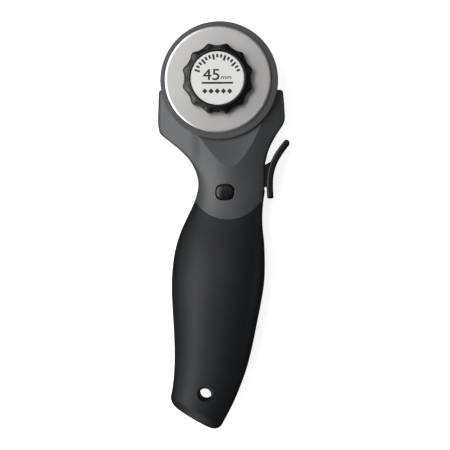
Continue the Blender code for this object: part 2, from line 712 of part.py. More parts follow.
def build_guard(materials):
    """The disc behind the blade, slotted round the axle's boss, with a leg into the housing."""
    slot = slot_outline(along_slide(-GUARD_TRAVEL), (0.0, 0.0), BOSS_R + LEG_PLAY, 12)
    disc = arc(GUARD_CENTRE, GUARD_R, 0, 354, 59)
    guard = plate("guard", [disc, slot], GUARD_Z, materials["guard"])
    leg = slot_outline(along_slide(LEG_FROM_AXIS[0]), along_slide(LEG_FROM_AXIS[1]), LEG_HALF_W)
    join(guard, plate("add_guard_leg", [leg], (SLIDER_Z[1] + GAP, GUARD_Z[0] + 0.8)))
    bore = (SLIDER_Z[0], GUARD_SCREW_TOP + 0.4)
    cut(guard, cylinder("cut_guard_screw", guard_screw_place(), bore, GUARD_SCREW_R + GAP))
    return guard


def guard_screw_place():
    return along_slide(sum(LEG_FROM_AXIS) / 2)


def build_slider(materials):
    """Flat steel bar that carries the guard. Its pocket for the lock button is a slot as long as the
    travel, and its tab pushes the return spring."""
    ear = arc(DRIVE_PIN, SLIDER_EAR_R, 225, 100, 5)
    outline = [*SLIDER_OUTLINE, *ear, SLIDER_NECK]
    slider = plate("guard_slider", [outline], SLIDER_Z, materials["steel_plate"])
    ahead = (BUTTON[0] - SLIDE.x * GUARD_TRAVEL, BUTTON[1] - SLIDE.y * GUARD_TRAVEL)
    pocket = slot_outline(BUTTON, ahead, max(BUTTON_HALF) + GAP)
    cut(slider, plate("cut_lock_pocket", [pocket], THROUGH_Z))
    cut(slider, cylinder("cut_drive_pin", DRIVE_PIN, THROUGH_Z, DRIVE_PIN_R + GAP))
    cut(slider, cylinder("cut_slider_screw", guard_screw_place(), THROUGH_Z, GUARD_SCREW_R + GAP))
    join(slider, box("add_spring_tab", (*along_slide(TAB_AT), SPRING_Z), TAB_SIZE))
    return slider


def build_guard_screw(materials):
    """Screw from below that holds the slider to the guard's leg."""
    head_r, head_h = GUARD_SCREW_HEAD
    under = SLIDER_Z[0] - GAP
    profile = [
        (0.0, GUARD_SCREW_TOP), (GUARD_SCREW_R, GUARD_SCREW_TOP), (GUARD_SCREW_R, under),
        (head_r, under), (head_r, under - head_h), (0.0, under - head_h),
    ]
    return turned("guard_screw", profile, materials["bright"], guard_screw_place(), False, SMALL_ROUND)


# Trigger, lock and spring ----------------------------------------------------------------------


def build_trigger(materials):
    """Bow outside, stem through the window, hub on the pin, and an arm with the drive pin's slot."""
    low, high = HUB_Z
    bow = plate("trigger", [ribbon_outline(BOW_LINE, BOW_T)], BOW_Z, materials["black"])
    join(bow, plate("add_trigger_stem", [STEM_OUTLINE], (low + 0.1, high - 0.1)))
    join(bow, cylinder("add_trigger_hub", PIVOT, HUB_Z, HUB_R, ROUND))
    reach = Vector(DRIVE_PIN) - Vector(PIVOT)
    along = reach.normalized()
    tip = Vector(PIVOT) + reach + along * ARM_PAST_PIN
    join(bow, plate("add_trigger_arm", [slot_outline(PIVOT, tip, ARM_HALF_W)], ARM_Z))
    join(bow, plate("add_trigger_bridge", [BRIDGE_OUTLINE], (low + 0.2, high - 0.2)))
    cut(bow, cylinder("cut_trigger_bore", PIVOT, THROUGH_Z, PIVOT_R + GAP))
    ends = [Vector(DRIVE_PIN) + along * distance for distance in DRIVE_SLOT]
    cut(bow, plate("cut_drive_slot", [slot_outline(*ends, DRIVE_PIN_R + DRIVE_SLOT_PLAY)], THROUGH_Z))
    return bow


def pin(name, centre, heights, radius, material, soft=0.2):
    """A plain pin with both ends chamfered."""
    low, high = heights
    profile = [
        (0.0, high), (radius - soft, high), (radius, high - soft),
        (radius, low + soft), (radius - soft, low), (0.0, low),
    ]
    return turned(name, profile, material, centre, False, SMALL_ROUND)


def build_button(materials):
    """Push-through lock button: a domed cap on a stem."""
    low, high = BUTTON_Z
    cap = rounded_rectangle(BUTTON, BUTTON_HALF, BUTTON_CORNER)
    button = plate("lock_button", [cap], (low, high - 0.6), materials["black"])
    half = min(BUTTON_HALF)
    join(button, cylinder("add_button_dome", BUTTON, (high - 1.0, high), half - 0.2, ROUND, half - 0.9))
    join(button, cylinder("add_button_stem", BUTTON, (BUTTON_STEM_BASE, low + 0.5), BUTTON_STEM_R))
    return button


def wire(name, points, radius, material, resolution=1):
    """A round wire along a polyline, with filled ends."""
    curve = bpy.data.curves.new(name, "CURVE")
    curve.dimensions = "3D"
    curve.bevel_depth = radius * MM
    curve.bevel_resolution = resolution
    curve.use_fill_caps = True
    spline = curve.splines.new("POLY")
    spline.points.add(len(points) - 1)
    for place, point in zip(spline.points, points):
        place.co = (point[0] * MM, point[1] * MM, point[2] * MM, 1.0)
    obj = bpy.data.objects.new(name, curve)
    parts.objects.link(obj)
    curve.materials.append(material)
    return obj


def build_return_spring(materials):
    """Compression coil between the slider's tab and the seat in the rear housing."""
    start, end = SPRING_SPAN
    side = Vector((-SLIDE.y, SLIDE.x, 0.0))
    up = Vector((0.0, 0.0, 1.0))
    steps = SPRING_TURNS * SPRING_STEPS
    points = []
    for i in range(steps + 1):
        angle = 2 * math.pi * i / SPRING_STEPS
        spoke = side * math.cos(angle) + up * math.sin(angle)
        points.append(SLIDE * (start + (end - start) * i / steps) + up * SPRING_Z + spoke * SPRING_R)
    return wire("return_spring", points, SPRING_WIRE_R, materials["bright"])


def build_detent_spring(materials):
    """Hairpin of wire in the rear housing that grips the lock button's stem."""
    x, y = BUTTON
    reach = BUTTON_STEM_R + DETENT_WIRE_R + 0.4
    line = [(x - reach - 0.5, y - 5.0), (x - reach, y - 1.0), (x - reach, y + 1.5)]
    line += arc((x, y + 2.2), reach, 180, 0, 8)
    line += [(x + reach, y + 1.5), (x + reach, y - 1.0), (x + reach + 0.5, y - 5.0)]
    points = [(px, py, DETENT_Z) for px, py in line]
    return wire("lock_detent_spring", points, DETENT_WIRE_R, materials["bright"])


def build_housing_screws(materials):
    for i, (x, y) in enumerate(SCREWS, 1):
        low = curve_at(BACK, y) + screw_depth(y)
        neck = low + SCREW_HEAD_H
        top = curve_at(PARTING, y) + SCREW_REACH
        profile = [
            (0.0, top), (SCREW_R, top), (SCREW_R, neck),
            (SCREW_HEAD_R, neck), (SCREW_HEAD_R, low), (0.0, low),
        ]
        turned(f"housing_screw_{i}", profile, materials["bright"], (x, y), False, SMALL_ROUND)


def build():
    clear_scene()
    materials = {
        "grey": paint("grey_plastic", (0.12, 0.125, 0.135), 0.5),
        "guard": paint("guard_plastic", (0.1, 0.1, 0.105), 0.45),
        "rubber": paint("soft_grip", (0.022, 0.024, 0.027), 0.6),
        "black": paint("black_plastic", (0.012, 0.012, 0.014), 0.4),
        "steel": paint("blade_steel", (0.62, 0.61, 0.6), 0.3, 1.0),
        "steel_plate": paint("slider_steel", (0.5, 0.5, 0.5), 0.4, 1.0),
        "bright": paint("zinc_steel", (0.7, 0.7, 0.7), 0.3, 1.0),
        "brass": paint("brass", (0.75, 0.55, 0.25), 0.35, 1.0),
        "label": paint("label_film", (0.68, 0.67, 0.64), 0.4),
    }
    build_housing(materials)
    build_grip(materials)
    blade = build_blade(materials)
    ring("blade_bush", BUSH_R, (BUSH_BASE, BLADE_Z[1]), materials["brass"])
    build_axle_bolt(materials)
    ring("friction_washer", (BUSH_R[0], WASHER_R), WASHER_Z, materials["bright"])
    insert = build_insert(materials)
    knob_body = [build_knob(materials), build_label(materials)]
    drive_z = (ARM_Z[0] + 0.1, SLIDER_Z[1])
    drive_pin = pin("guard_drive_pin", DRIVE_PIN, drive_z, DRIVE_PIN_R, materials["bright"])
    guard_body = [build_guard(materials), build_slider(materials), drive_pin, build_guard_screw(materials)]
    trigger = build_trigger(materials)
    pin("trigger_pivot_pin", PIVOT, PIVOT_PIN_Z, PIVOT_R, materials["bright"])
    button = build_button(materials)
    build_return_spring(materials)
    build_detent_spring(materials)
    build_housing_screws(materials)
    hang_on_axis("blade_axis", 0, 0, 0, [blade])
    hang_on_axis("knob_lift_axis", 0, 0, 0, [insert])
    hang_on_axis("knob_axis", 0, 0, 0, knob_body)
    hang_on_axis("guard_slide_axis", 0, 0, 0, guard_body)
    hang_on_axis("trigger_axis", *PIVOT, 0, [trigger])
    hang_on_axis("lock_axis", *BUTTON, 0, [button])


build()
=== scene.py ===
"""Looks of the rotary cutter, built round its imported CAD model.

Sizes are in millimetres and are scaled to metres where meshes are made. The origin is on the blade's
axis, the handle runs towards -Y, and the cutter lies on its back on Z = 0.
"""

import math

import bmesh
import bpy
import numpy as np
from mathutils import Matrix, Vector


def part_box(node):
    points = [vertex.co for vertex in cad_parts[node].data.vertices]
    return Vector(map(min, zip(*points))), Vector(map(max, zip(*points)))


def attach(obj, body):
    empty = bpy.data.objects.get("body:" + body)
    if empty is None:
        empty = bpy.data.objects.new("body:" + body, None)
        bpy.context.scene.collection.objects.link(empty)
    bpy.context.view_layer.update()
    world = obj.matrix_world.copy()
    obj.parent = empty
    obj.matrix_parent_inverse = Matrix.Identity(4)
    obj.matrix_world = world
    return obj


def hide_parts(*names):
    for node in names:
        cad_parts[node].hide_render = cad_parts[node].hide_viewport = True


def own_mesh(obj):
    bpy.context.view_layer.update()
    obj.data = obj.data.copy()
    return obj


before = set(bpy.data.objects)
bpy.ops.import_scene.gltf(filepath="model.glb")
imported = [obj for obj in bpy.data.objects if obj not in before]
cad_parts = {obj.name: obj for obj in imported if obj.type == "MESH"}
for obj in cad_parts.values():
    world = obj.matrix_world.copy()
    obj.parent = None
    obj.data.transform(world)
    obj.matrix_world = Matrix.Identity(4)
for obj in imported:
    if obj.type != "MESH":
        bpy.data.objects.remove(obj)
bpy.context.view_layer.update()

MM = 0.001


def extent(node, axis):
    """Lowest and highest coordinate of a CAD node along one axis, in millimetres."""
    low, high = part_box(node)
    return low[axis] / MM, high[axis] / MM


GAP = 0.3  # clearance between CAD pieces that touch
SEAM_GAP = 0.06  # visible gap where the grip meets the head

# Layers and radii, read from the CAD nodes.
BLADE_Z = extent("blade", 2)
BLADE_R = extent("blade", 0)[1]
GUARD_TOP = extent("guard", 2)[1]
KNOB_Z = extent("knob", 2)
LABEL_Z = extent("knob_label", 2)
LABEL_R = extent("knob_label", 0)[1]
HEAD_BACK = extent("rear_housing", 2)[0]
BOLT_HEAD_R = extent("axle_bolt", 0)[1]
BOW_Z = extent("trigger", 2)

# Cutting head.
BLADE_BORE_R = 4.1
BLADE_GRIND = 0.8  # width of the ground edge
KNOB_LOBES = 12
KNOB_TURN = math.radians(15)  # angle of the first lobe's peak
LOBE_POWER = 1.8
KNOB_PEAK_R = 15.1
KNOB_VALLEY_R = 14.05
KNOB_COLLAR_R = 12.4
# The knob's side, from the back up: (height, fillet), then (depth below the face, share of the way in to the
# round collar, fillet), (depth, distance inside the collar) and (depth, distance outside the recess).
KNOB_FOOT = ((0.0, 0.35), (0.1, 0.15), (0.35, 0.0))
KNOB_SHOULDER = (
    (2.2, 0.0, 0.0), (1.8, 0.0, 0.08), (1.55, 0.0, 0.3), (1.42, 0.15, 0.3), (1.22, 0.5, 0.3),
    (1.05, 0.8, 0.3), (0.94, 0.96, 0.3), (0.8, 1.0, 0.3), (0.25, 1.0, 0.3),
)
KNOB_RIM = ((0.08, 0.08), (0.0, 0.25))
RECESS_RIM = ((0.0, 0.15), (0.05, 0.03), (0.15, 0.0))
LABEL_GAP = 0.12  # between the label and its recess
INSERT_POCKET_R = 5.7
INSERT_POCKET_FLOOR = 1.9  # thickness left in front of the insert
TICKS_R = 10.1  # outer ends of the arc of ticks on the label
SHORT_TICK = 1.5
LONG_TICK = 2.3
TICK_W = 0.85
RULE_SIZE = (13.1, 0.8)
RULE_Y = -2.05
DIAMOND_SIDE = 1.6
DIAMOND_PITCH = 2.6
DIAMOND_Y = -5.5
PRINT_T = 0.02
GUARD_R = 25.0
GUARD_T = 2.0
GUARD_FALL = 0.1  # how far its face falls to the rim
GUARD_RIM = 0.35
GUARD_CENTRE = (0.4, -0.25)
GUARD_TRAVEL = 3.6
SLIDE = Vector((0.124, -0.992, 0.0)).normalized()
LEG_FROM_AXIS = (11.5, 16.5)  # both ends of the leg behind it, along the slide
LEG_HALF_W = 2.6
LEG_BOTTOM = 10.5
LEG_CLEARANCE = 0.4  # between the guard and what it slides past
BOSS_R = 5.4
BOSS_TOP = 17.7
BUSH_R = 3.8
BOLT_R = 2.5
BOLT_HEAD_H = 1.4

# Housing.
HEAD_R = 17.5
HEAD_TOP = 15.1
FRONT_ROUNDNESS = 2.2  # powers of the superellipse that the handle's section follows
GRIP_BACK_ROUNDNESS = 2.3
HEAD_BACK_SQUARER = 2.7
FLAT_SLOPE = 0.05
FLAT_TIP = (-36.6, 15.5)  # (Y, Z) of the slanted flat's lower end
FACET_HOLLOW = 0.0025
RIDGE_X = 5.0
# How soft the ridge's top is and how steeply it falls: on the left, on the right, and more at the facet.
RIDGE_SOFTNESS = (2.2, 3.5, 8.5)
RIDGE_STEEPNESS = (0.28, 0.44, 0.26)
# Stretches of the handle, from the grip's end, over which a shape of the head comes in.
RIDGE_LEFT_Y = (-50.0, -30.0)
RIDGE_RIGHT_Y = (-66.0, -34.0)
FACET_Y = (-44.0, -36.0)
EAR_STEP_Y = (-46.0, -29.0)
BACK_Y = (-64.0, -34.0)
PARTING_HEAD = 8.6
WALL_T = 2.0
SKIN_T = 1.9
SEAM_CENTRE = (3.9, -42.9)
SEAM_R = 16.4
SEAM_Y = -51.9
HOLE = (-5.6, -133.6)
HOLE_R = 2.65
HOLE_FLARE = 1.1
SHOULDER_Y = -4.0
SHOULDER_ROUND = 1.0
HEAD_RIM = 0.12  # rounding of the two edges of the seam
GRIP_RIM = 0.15
CORE_TURN_Y = -64.0  # where the rows have changed from the seam's bowl to straight lines
GRIP_TURN_Y = -68.0
CORE_STEP = -3.0  # between rows that don't show
CORE_SHORT = 1.0  # from the core's end to the inside of the soft skin
# Y of the head's rows, as (start, end, step), finest at the ears' corners.
HEAD_ROWS = ((-5.4, -19.0, -0.6), (-19.0, -27.0, -0.3), (-27.0, -45.9, -0.6))
TAIL_Y = -144.3
TAIL_SLANT = 6.1
SLANT_FROM_Y = -108.0
TAIL_ROUND = 3.4
TAIL_BEVEL = 0.75
TAIL_SOFT = 0.9
INNER_TAIL_ROUND = 1.6
HEAD_HOLLOW_Y = (-8.0, -52.0)
GRIP_HOLLOW_Y = (-46.0, -110.0)
EAR_ROUND = 1.2
EAR_STEP_X = (-12.4, -7.0)  # where the soft groove lies, and how much higher the left ear is past it
EAR_STEP = 0.45
EAR_FALL = 0.05
LIP = 0.3  # rounding of the edge along the parting line
LIP_STEPS = 3
PAST_PARTING = (-0.2, -0.6, -1.0)  # shares of the way that a cutter goes past that line, instead of the lip
LEAST_ROOM = 2.0  # between the parting line and the roof of a hollow
SCREWS = ((-18.5, -13.0), (20.5, -12.0), (1.0, -78.0), (-4.0, -116.0))
SCREW_SINK_R = 2.8
SCREW_GRIP_R = 3.2  # hole in the soft skin that a screw is reached through
SCREW_POST_R = 4.0
SCREW_DEPTHS = (0.6, 2.4)  # of the heads below the back, in the head and inside the grip
SCREW_SHANK_R = 1.25
# A screw's head, as (radius, height above its face), and the size of one arm of its cross.
SCREW_HEAD = ((0.0, 0.0), (1.9, 0.0), (2.3, 0.12), (2.5, 0.4), (2.55, 1.6), (SCREW_SHANK_R, 1.6))
SCREW_CROSS = (3.0, 0.55, 1.9)

# Trigger, button and spring.
PIVOT = (16.0, -42.5)
BOW_LINE = ((28.9, -26.6), (26.4, -29.9), (23.6, -34.8), (22.1, -40.0), (21.8, -45.0), (22.0, -49.4))
BOW_T = 2.7
BOW_EDGE = 0.75
STEM = (
    (18.5, -45.4), (22.2, -45.4), (23.0, -40.0), (24.8, -33.0), (24.5, -31.6), (23.3, -33.3), (22.0, -34.6),
    (20.8, -35.3), (19.7, -35.9), (18.5, -36.4),
)
BRIDGE = ((15.0, -45.3), (19.5, -45.3), (19.5, -37.0), (17.0, -37.6), (15.0, -39.8))
HUB_Z = (5.6, 10.3)
HUB_R = 3.4
PIVOT_BORE_R = 1.8
ARM_Z = (6.0, 7.8)
ARM_HALF_W = 2.7
ARM_PAST_PIN = 0.6
DRIVE_PIN = (-3.6, -34.5)
DRIVE_SLOT_REACH = (-2.0, 0.3)  # along the arm, from the pin
DRIVE_SLOT_HALF_W = 1.8
WINDOW = ((20.0, -40.4, 8.0), (9.0, 12.6, 5.6))  # middle and size of the opening for the trigger
BUTTON = (2.7, -47.6)
BUTTON_HALF = (3.75, 2.95)
BUTTON_CORNER = 2.4
BUTTON_GAP = 0.35
BUTTON_HOLE_RIM = 0.35
BUTTON_HOLE_FLOOR = 9.5
BUTTON_BACK = 10.5  # back of its cap
BUTTON_STEM_R = 1.5
# (depth below the top, share of the full size) down the button's dome.
BUTTON_DOME = (
    (0.85, 1.0), (0.6, 0.985), (0.42, 0.95), (0.28, 0.88), (0.16, 0.74), (0.07, 0.52), (0.01, 0.2),
)
SPRING_R = 2.2
SPRING_Z = 9.0
SPRING_SPAN = (57.6, 72.0)
SPRING_WIRE_R = 0.35
SPRING_TURNS = 7

# Studio.
CAMERA_PLACE = Vector((0.030, -0.058, 0.668))
CAMERA_AIM = Vector((0.00296, -0.0616, 0.018))
CAMERA_LENS = 123.0
SENSOR_W = 36.0
LIGHT_AIM = Vector((0.0, -0.06, 0.02))
WORLD_LIGHT = 0.05
WORLD_BACKDROP = 0.9  # what the camera sees on top of that
FLOOR_GLOW = 0.85
FLOOR_HALF = 2500.0

# Outline of the handle seen from the front: (Y, X) points down each side, as in the CAD.
LEFT = (
    (-3.0, -25.5), (-10.4, -25.9), (-21.3, -25.7), (-22.4, -25.4), (-23.3, -24.5), (-24.6, -22.9),
    (-29.7, -16.6), (-33.1, -13.2), (-36.5, -11.0), (-40.0, -9.6), (-44.2, -8.9), (-48.6, -9.6),
    (-52.0, -10.7), (-57.2, -13.1), (-64.0, -16.2), (-70.9, -18.4), (-79.5, -19.8), (-86.4, -20.2),
    (-96.6, -19.9), (-107.0, -19.3), (-117.3, -19.0), (-124.1, -19.2), (-131.0, -19.9), (-138.2, -21.3),
)
RIGHT = (
    (-3.0, 27.3), (-9.0, 27.9), (-12.4, 28.1), (-17.7, 27.9), (-21.1, 25.8), (-24.6, 23.6),
    (-28.0, 21.9), (-31.4, 20.7), (-34.8, 20.0), (-41.8, 19.8), (-46.9, 19.7), (-52.0, 19.0),
    (-57.2, 18.6), (-62.3, 18.7), (-69.1, 19.4), (-77.3, 19.7), (-86.4, 19.4), (-93.2, 18.4),
    (-103.5, 16.4), (-113.8, 14.3), (-124.1, 11.6), (-131.0, 9.1), (-136.1, 7.0), (-146.4, 1.8),
    (-151.1, -0.7),
)
# (Y, Z) of the front ridge, of the line where the two halves part, and of the back.
CROWN = (
    (-3.0, 20.5), (-22.0, 17.7), (-36.6, 15.5), (-44.0, 14.9), (-50.0, 15.2), (-59.0, 16.8),
    (-70.0, 20.0), (-82.0, 22.3), (-92.0, 22.8), (-105.0, 22.0), (-120.0, 20.2), (-133.0, 18.6),
    (-152.0, 16.5),
)
PARTING = ((-3.0, 8.6), (-50.0, 8.6), (-88.0, 10.2), (-120.0, 10.0), (-152.0, 9.2))
BACK = (
    (-3.0, 1.7), (-20.0, 1.7), (-44.0, 2.6), (-60.0, 1.6), (-75.0, 0.4), (-88.0, 0.0),
    (-102.0, 0.5), (-120.0, 1.9), (-133.0, 3.0), (-152.0, 4.0),
)

COLUMNS = 97  # points across one half of the handle
TABLE_Y = (-165.0, 5.0)  # reach and step of the tables that smooth the outlines
FINE_Y = 0.05
CUTTER_PAST = 5.0  # how far a cutter runs on past the face that it opens
FLAT_ENOUGH = 2.0  # degrees between two faces that still count as one surface
ON_FACET = 0.02


# Curves ---------------------------------------------------


def cubic(ys, values, slopes, at):
    """Values at some places on a smooth curve through points with known slopes."""
    i = np.clip(np.searchsorted(ys, at) - 1, 0, len(ys) - 2)
    span = ys[i + 1] - ys[i]
    t = np.clip((at - ys[i]) / span, 0, 1)
    return (
        values[i] * (2 * t**3 - 3 * t**2 + 1) + slopes[i] * span * (t**3 - 2 * t**2 + t)
        + values[i + 1] * (3 * t**2 - 2 * t**3) + slopes[i + 1] * span * (t**3 - t**2)
    )


def through(points, blur):
    """A smooth function of y through (y, value) points, softened over a distance in millimetres."""
    ys, values = np.array(points[::-1], float).T
    slopes = np.gradient(values, ys)
    grid = np.arange(*TABLE_Y, FINE_Y)
    table = cubic(ys, values, slopes, grid)
    outside = np.clip(grid, ys[0], ys[-1])
    table += (grid - outside) * np.where(grid < ys[0], slopes[0], slopes[-1])
    reach = np.arange(-4 * blur, 4 * blur + FINE_Y, FINE_Y)
    weights = np.exp(-0.5 * (reach / blur) ** 2)
    soft = np.convolve(np.pad(table, len(reach) // 2, mode="edge"), weights / weights.sum(), mode="same")
    soft = soft[len(reach) // 2 : len(reach) // 2 + len(grid)]
    return lambda y: np.interp(y, grid, soft)


left_at = through(LEFT, 0.35)
right_at = through(RIGHT, 0.6)
crown_at = through(CROWN, 2.5)
parting_at = through(PARTING, 2.5)
back_at = through(BACK, 2.5)


def ramp(y, start, end):
    """0 before start, 1 after end, and smooth between them."""
    t = np.clip((np.asarray(y, float) - start) / (end - start), 0.0, 1.0)
    return t * t * (3 - 2 * t)


def arc(centre, radius, start, end, steps):
    """Points on a circle from one angle to another, in degrees."""
    angles = np.radians(np.linspace(start, end, steps + 1))
    return [(centre[0] + radius * math.cos(a), centre[1] + radius * math.sin(a)) for a in angles]


def circle(radius, steps, centre=(0.0, 0.0)):
    """Points all the way round a circle, the first one not repeated."""
    return arc(centre, radius, 0, 360, steps)[:-1]


def slot_outline(start, end, half_width, steps=24):
    """A strip between two points, with round ends."""
    turn = math.degrees(math.atan2(end[1] - start[1], end[0] - start[0]))
    far_end = arc(end, half_width, turn - 90, turn + 90, steps)
    return far_end + arc(start, half_width, turn + 90, turn + 270, steps)


def rounded_rectangle(centre, half, corner):
    """A rectangle of half sizes (x, y) with rounded corners."""
    outline = []
    for sign_x, sign_y, start in ((1, 1, 0), (-1, 1, 90), (-1, -1, 180), (1, -1, 270)):
        middle = (centre[0] + sign_x * (half[0] - corner), centre[1] + sign_y * (half[1] - corner))
        outline += arc(middle, corner, start, start + 90, 12)
    return outline


def along_slide(distance):
    """A point on the line that the guard slides along, at a distance from the blade's axis."""
    return (SLIDE.x * distance, SLIDE.y * distance)


def rounded_corner(radius, steps):
    """(inwards, downwards) steps round a quarter circle, from its side up to its top."""
    turn = np.radians(np.linspace(0, 90, steps + 1))
    return [(radius * (1 - math.cos(a)), radius * (1 - math.sin(a))) for a in turn]


# Meshes ---------------------------------------------------


def add_object(name, bm):
    """Turns a mesh made in millimetres into an object in metres."""
    bmesh.ops.recalc_face_normals(bm, faces=bm.faces)
    mesh = bpy.data.meshes.new(name)
    bm.to_mesh(mesh)
    bm.free()
    mesh.transform(Matrix.Scale(MM, 4))
    obj = bpy.data.objects.new(name, mesh)
    bpy.context.scene.collection.objects.link(obj)
    return obj


def skin_rows(bm, rows, around=False):
    """Quads between rows of points. Around joins each row's last point to its first."""
    rings = [[bm.verts.new(p) for p in row] for row in rows]
    count = len(rings[0])
    for lower, upper in zip(rings, rings[1:]):
        for i in range(count if around else count - 1):
            j = (i + 1) % count
            bm.faces.new((lower[i], lower[j], upper[j], upper[i]))
    return rings


def lofted(name, rows):
    """A closed solid whose cross-sections are the rows."""
    bm = bmesh.new()
    rings = skin_rows(bm, rows, around=True)
    bm.faces.new(rings[0])
    bm.faces.new(rings[-1])
    return add_object(name, bm)


def turned(name, profile, centre=(0.0, 0.0), steps=128, tube=False):
    """A profile of (radius, Z) points turned about an upright axis, closed at the axis or as a tube."""
    profile = list(profile) + [profile[0]] if tube else list(profile)
    bm = bmesh.new()
    rings = []
    for radius, z in profile:
        ring = circle(radius, steps, centre) if radius else [centre]
        rings.append([bm.verts.new((*p, z)) for p in ring])
    for lower, upper in zip(rings, rings[1:]):
        for i in range(steps):
            j = (i + 1) % steps
            corners = [ring[k % len(ring)] for ring, k in ((lower, i), (lower, j), (upper, j), (upper, i))]
            bm.faces.new(list(dict.fromkeys(corners)))
    bmesh.ops.remove_doubles(bm, verts=bm.verts, dist=1e-6)
    return add_object(name, bm)


def rod(name, radius, low, high, centre=(0.0, 0.0), steps=64, edge=0.0):
    """A round solid or cutter, with a bevel round its top where edge is given."""
    top = [(radius, high - edge), (radius - edge, high)] if edge else [(radius, high)]
    return turned(name, [(0, low), (radius, low), *top, (0, high)], centre, steps)


def prism(name, outline, heights, edge=0.0, steps=4, grow=0.0):
    """An outline given a thickness. Edge rounds both of its rims, and grow flares the top one outwards."""
    low, high = heights
    points = np.array(outline, float)
    ahead, behind = np.roll(points, -1, axis=0), np.roll(points, 1, axis=0)
    heading = ahead - behind
    heading /= np.maximum(np.linalg.norm(heading, axis=1), 1e-9)[:, None]
    normals = np.stack([heading[:, 1], -heading[:, 0]], axis=1)
    area = np.sum(points[:, 0] * ahead[:, 1] - ahead[:, 0] * points[:, 1])
    normals *= 1 if area > 0 else -1
    levels = [(low, 0.0), (high, 0.0)]
    if edge:
        corner = rounded_corner(edge, steps)
        levels = [(low + down, -inward) for inward, down in corner[::-1]]
        levels += [(high - down, -inward) for inward, down in corner]
    if grow:
        levels = [(low, 0.0)] + [(high - down, outward) for outward, down in rounded_corner(grow, steps)]
        levels += [(high + CUTTER_PAST, grow)]
    rows = [[(*(p + n * out), z) for p, n in zip(points, normals)] for z, out in levels]
    return lofted(name, rows)


def box(name, centre, size, turn=None):
    """A plain block for cutting with, turned by a matrix."""
    bm = bmesh.new()
    bmesh.ops.create_cube(bm, size=1.0, matrix=Matrix.Diagonal((*size, 1.0)))
    bmesh.ops.transform(bm, matrix=Matrix.Translation(centre) @ (turn or Matrix.Identity(4)), verts=bm.verts)
    return add_object(name, bm)


def combine(obj, *steps):
    """Joins ("+") or cuts ("-") other solids, and uses them up."""
    for sign, other in steps:
        modifier = obj.modifiers.new(other.name, "BOOLEAN")
        modifier.operation = "UNION" if sign == "+" else "DIFFERENCE"
        modifier.object = other
        modifier.solver = "EXACT"
    bpy.context.view_layer.update()
    graph = bpy.context.evaluated_depsgraph_get()
    mesh = bpy.data.meshes.new_from_object(obj.evaluated_get(graph))
    obj.modifiers.clear()
    obj.data = mesh
    for _, other in steps:
        bpy.data.objects.remove(other, do_unlink=True)
    return obj


def shade(obj, degrees=32.0, facet=None):
    """Smooth shading with sharp edges above an angle, and round the faces that a test picks."""
    bm = bmesh.new()
    bm.from_mesh(obj.data)
    for face in bm.faces:
        face.smooth = True
    for edge in bm.edges:
        if len(edge.link_faces) != 2:
            continue
        angle = math.degrees(edge.calc_face_angle(0.0))
        edge.smooth = angle < degrees
        if facet is not None and angle > FLAT_ENOUGH:
            first, second = edge.link_faces
            if facet(first) != facet(second):
                edge.smooth = False
    bm.to_mesh(obj.data)
    bm.free()
    weighted = obj.modifiers.new("even_shading", "WEIGHTED_NORMAL")
    weighted.keep_sharp = True
    weighted.weight = 80
    return obj


def finish_piece(obj, material, slot, body, *nodes):
    """Gives a piece its material and its body, and hides the CAD nodes that it stands in for. Slot is not
    used.
    """
    obj.data.materials.clear()
    obj.data.materials.append(material)
    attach(obj, body)
    if nodes:
        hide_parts(*nodes)


# Materials ------------------------------------------------


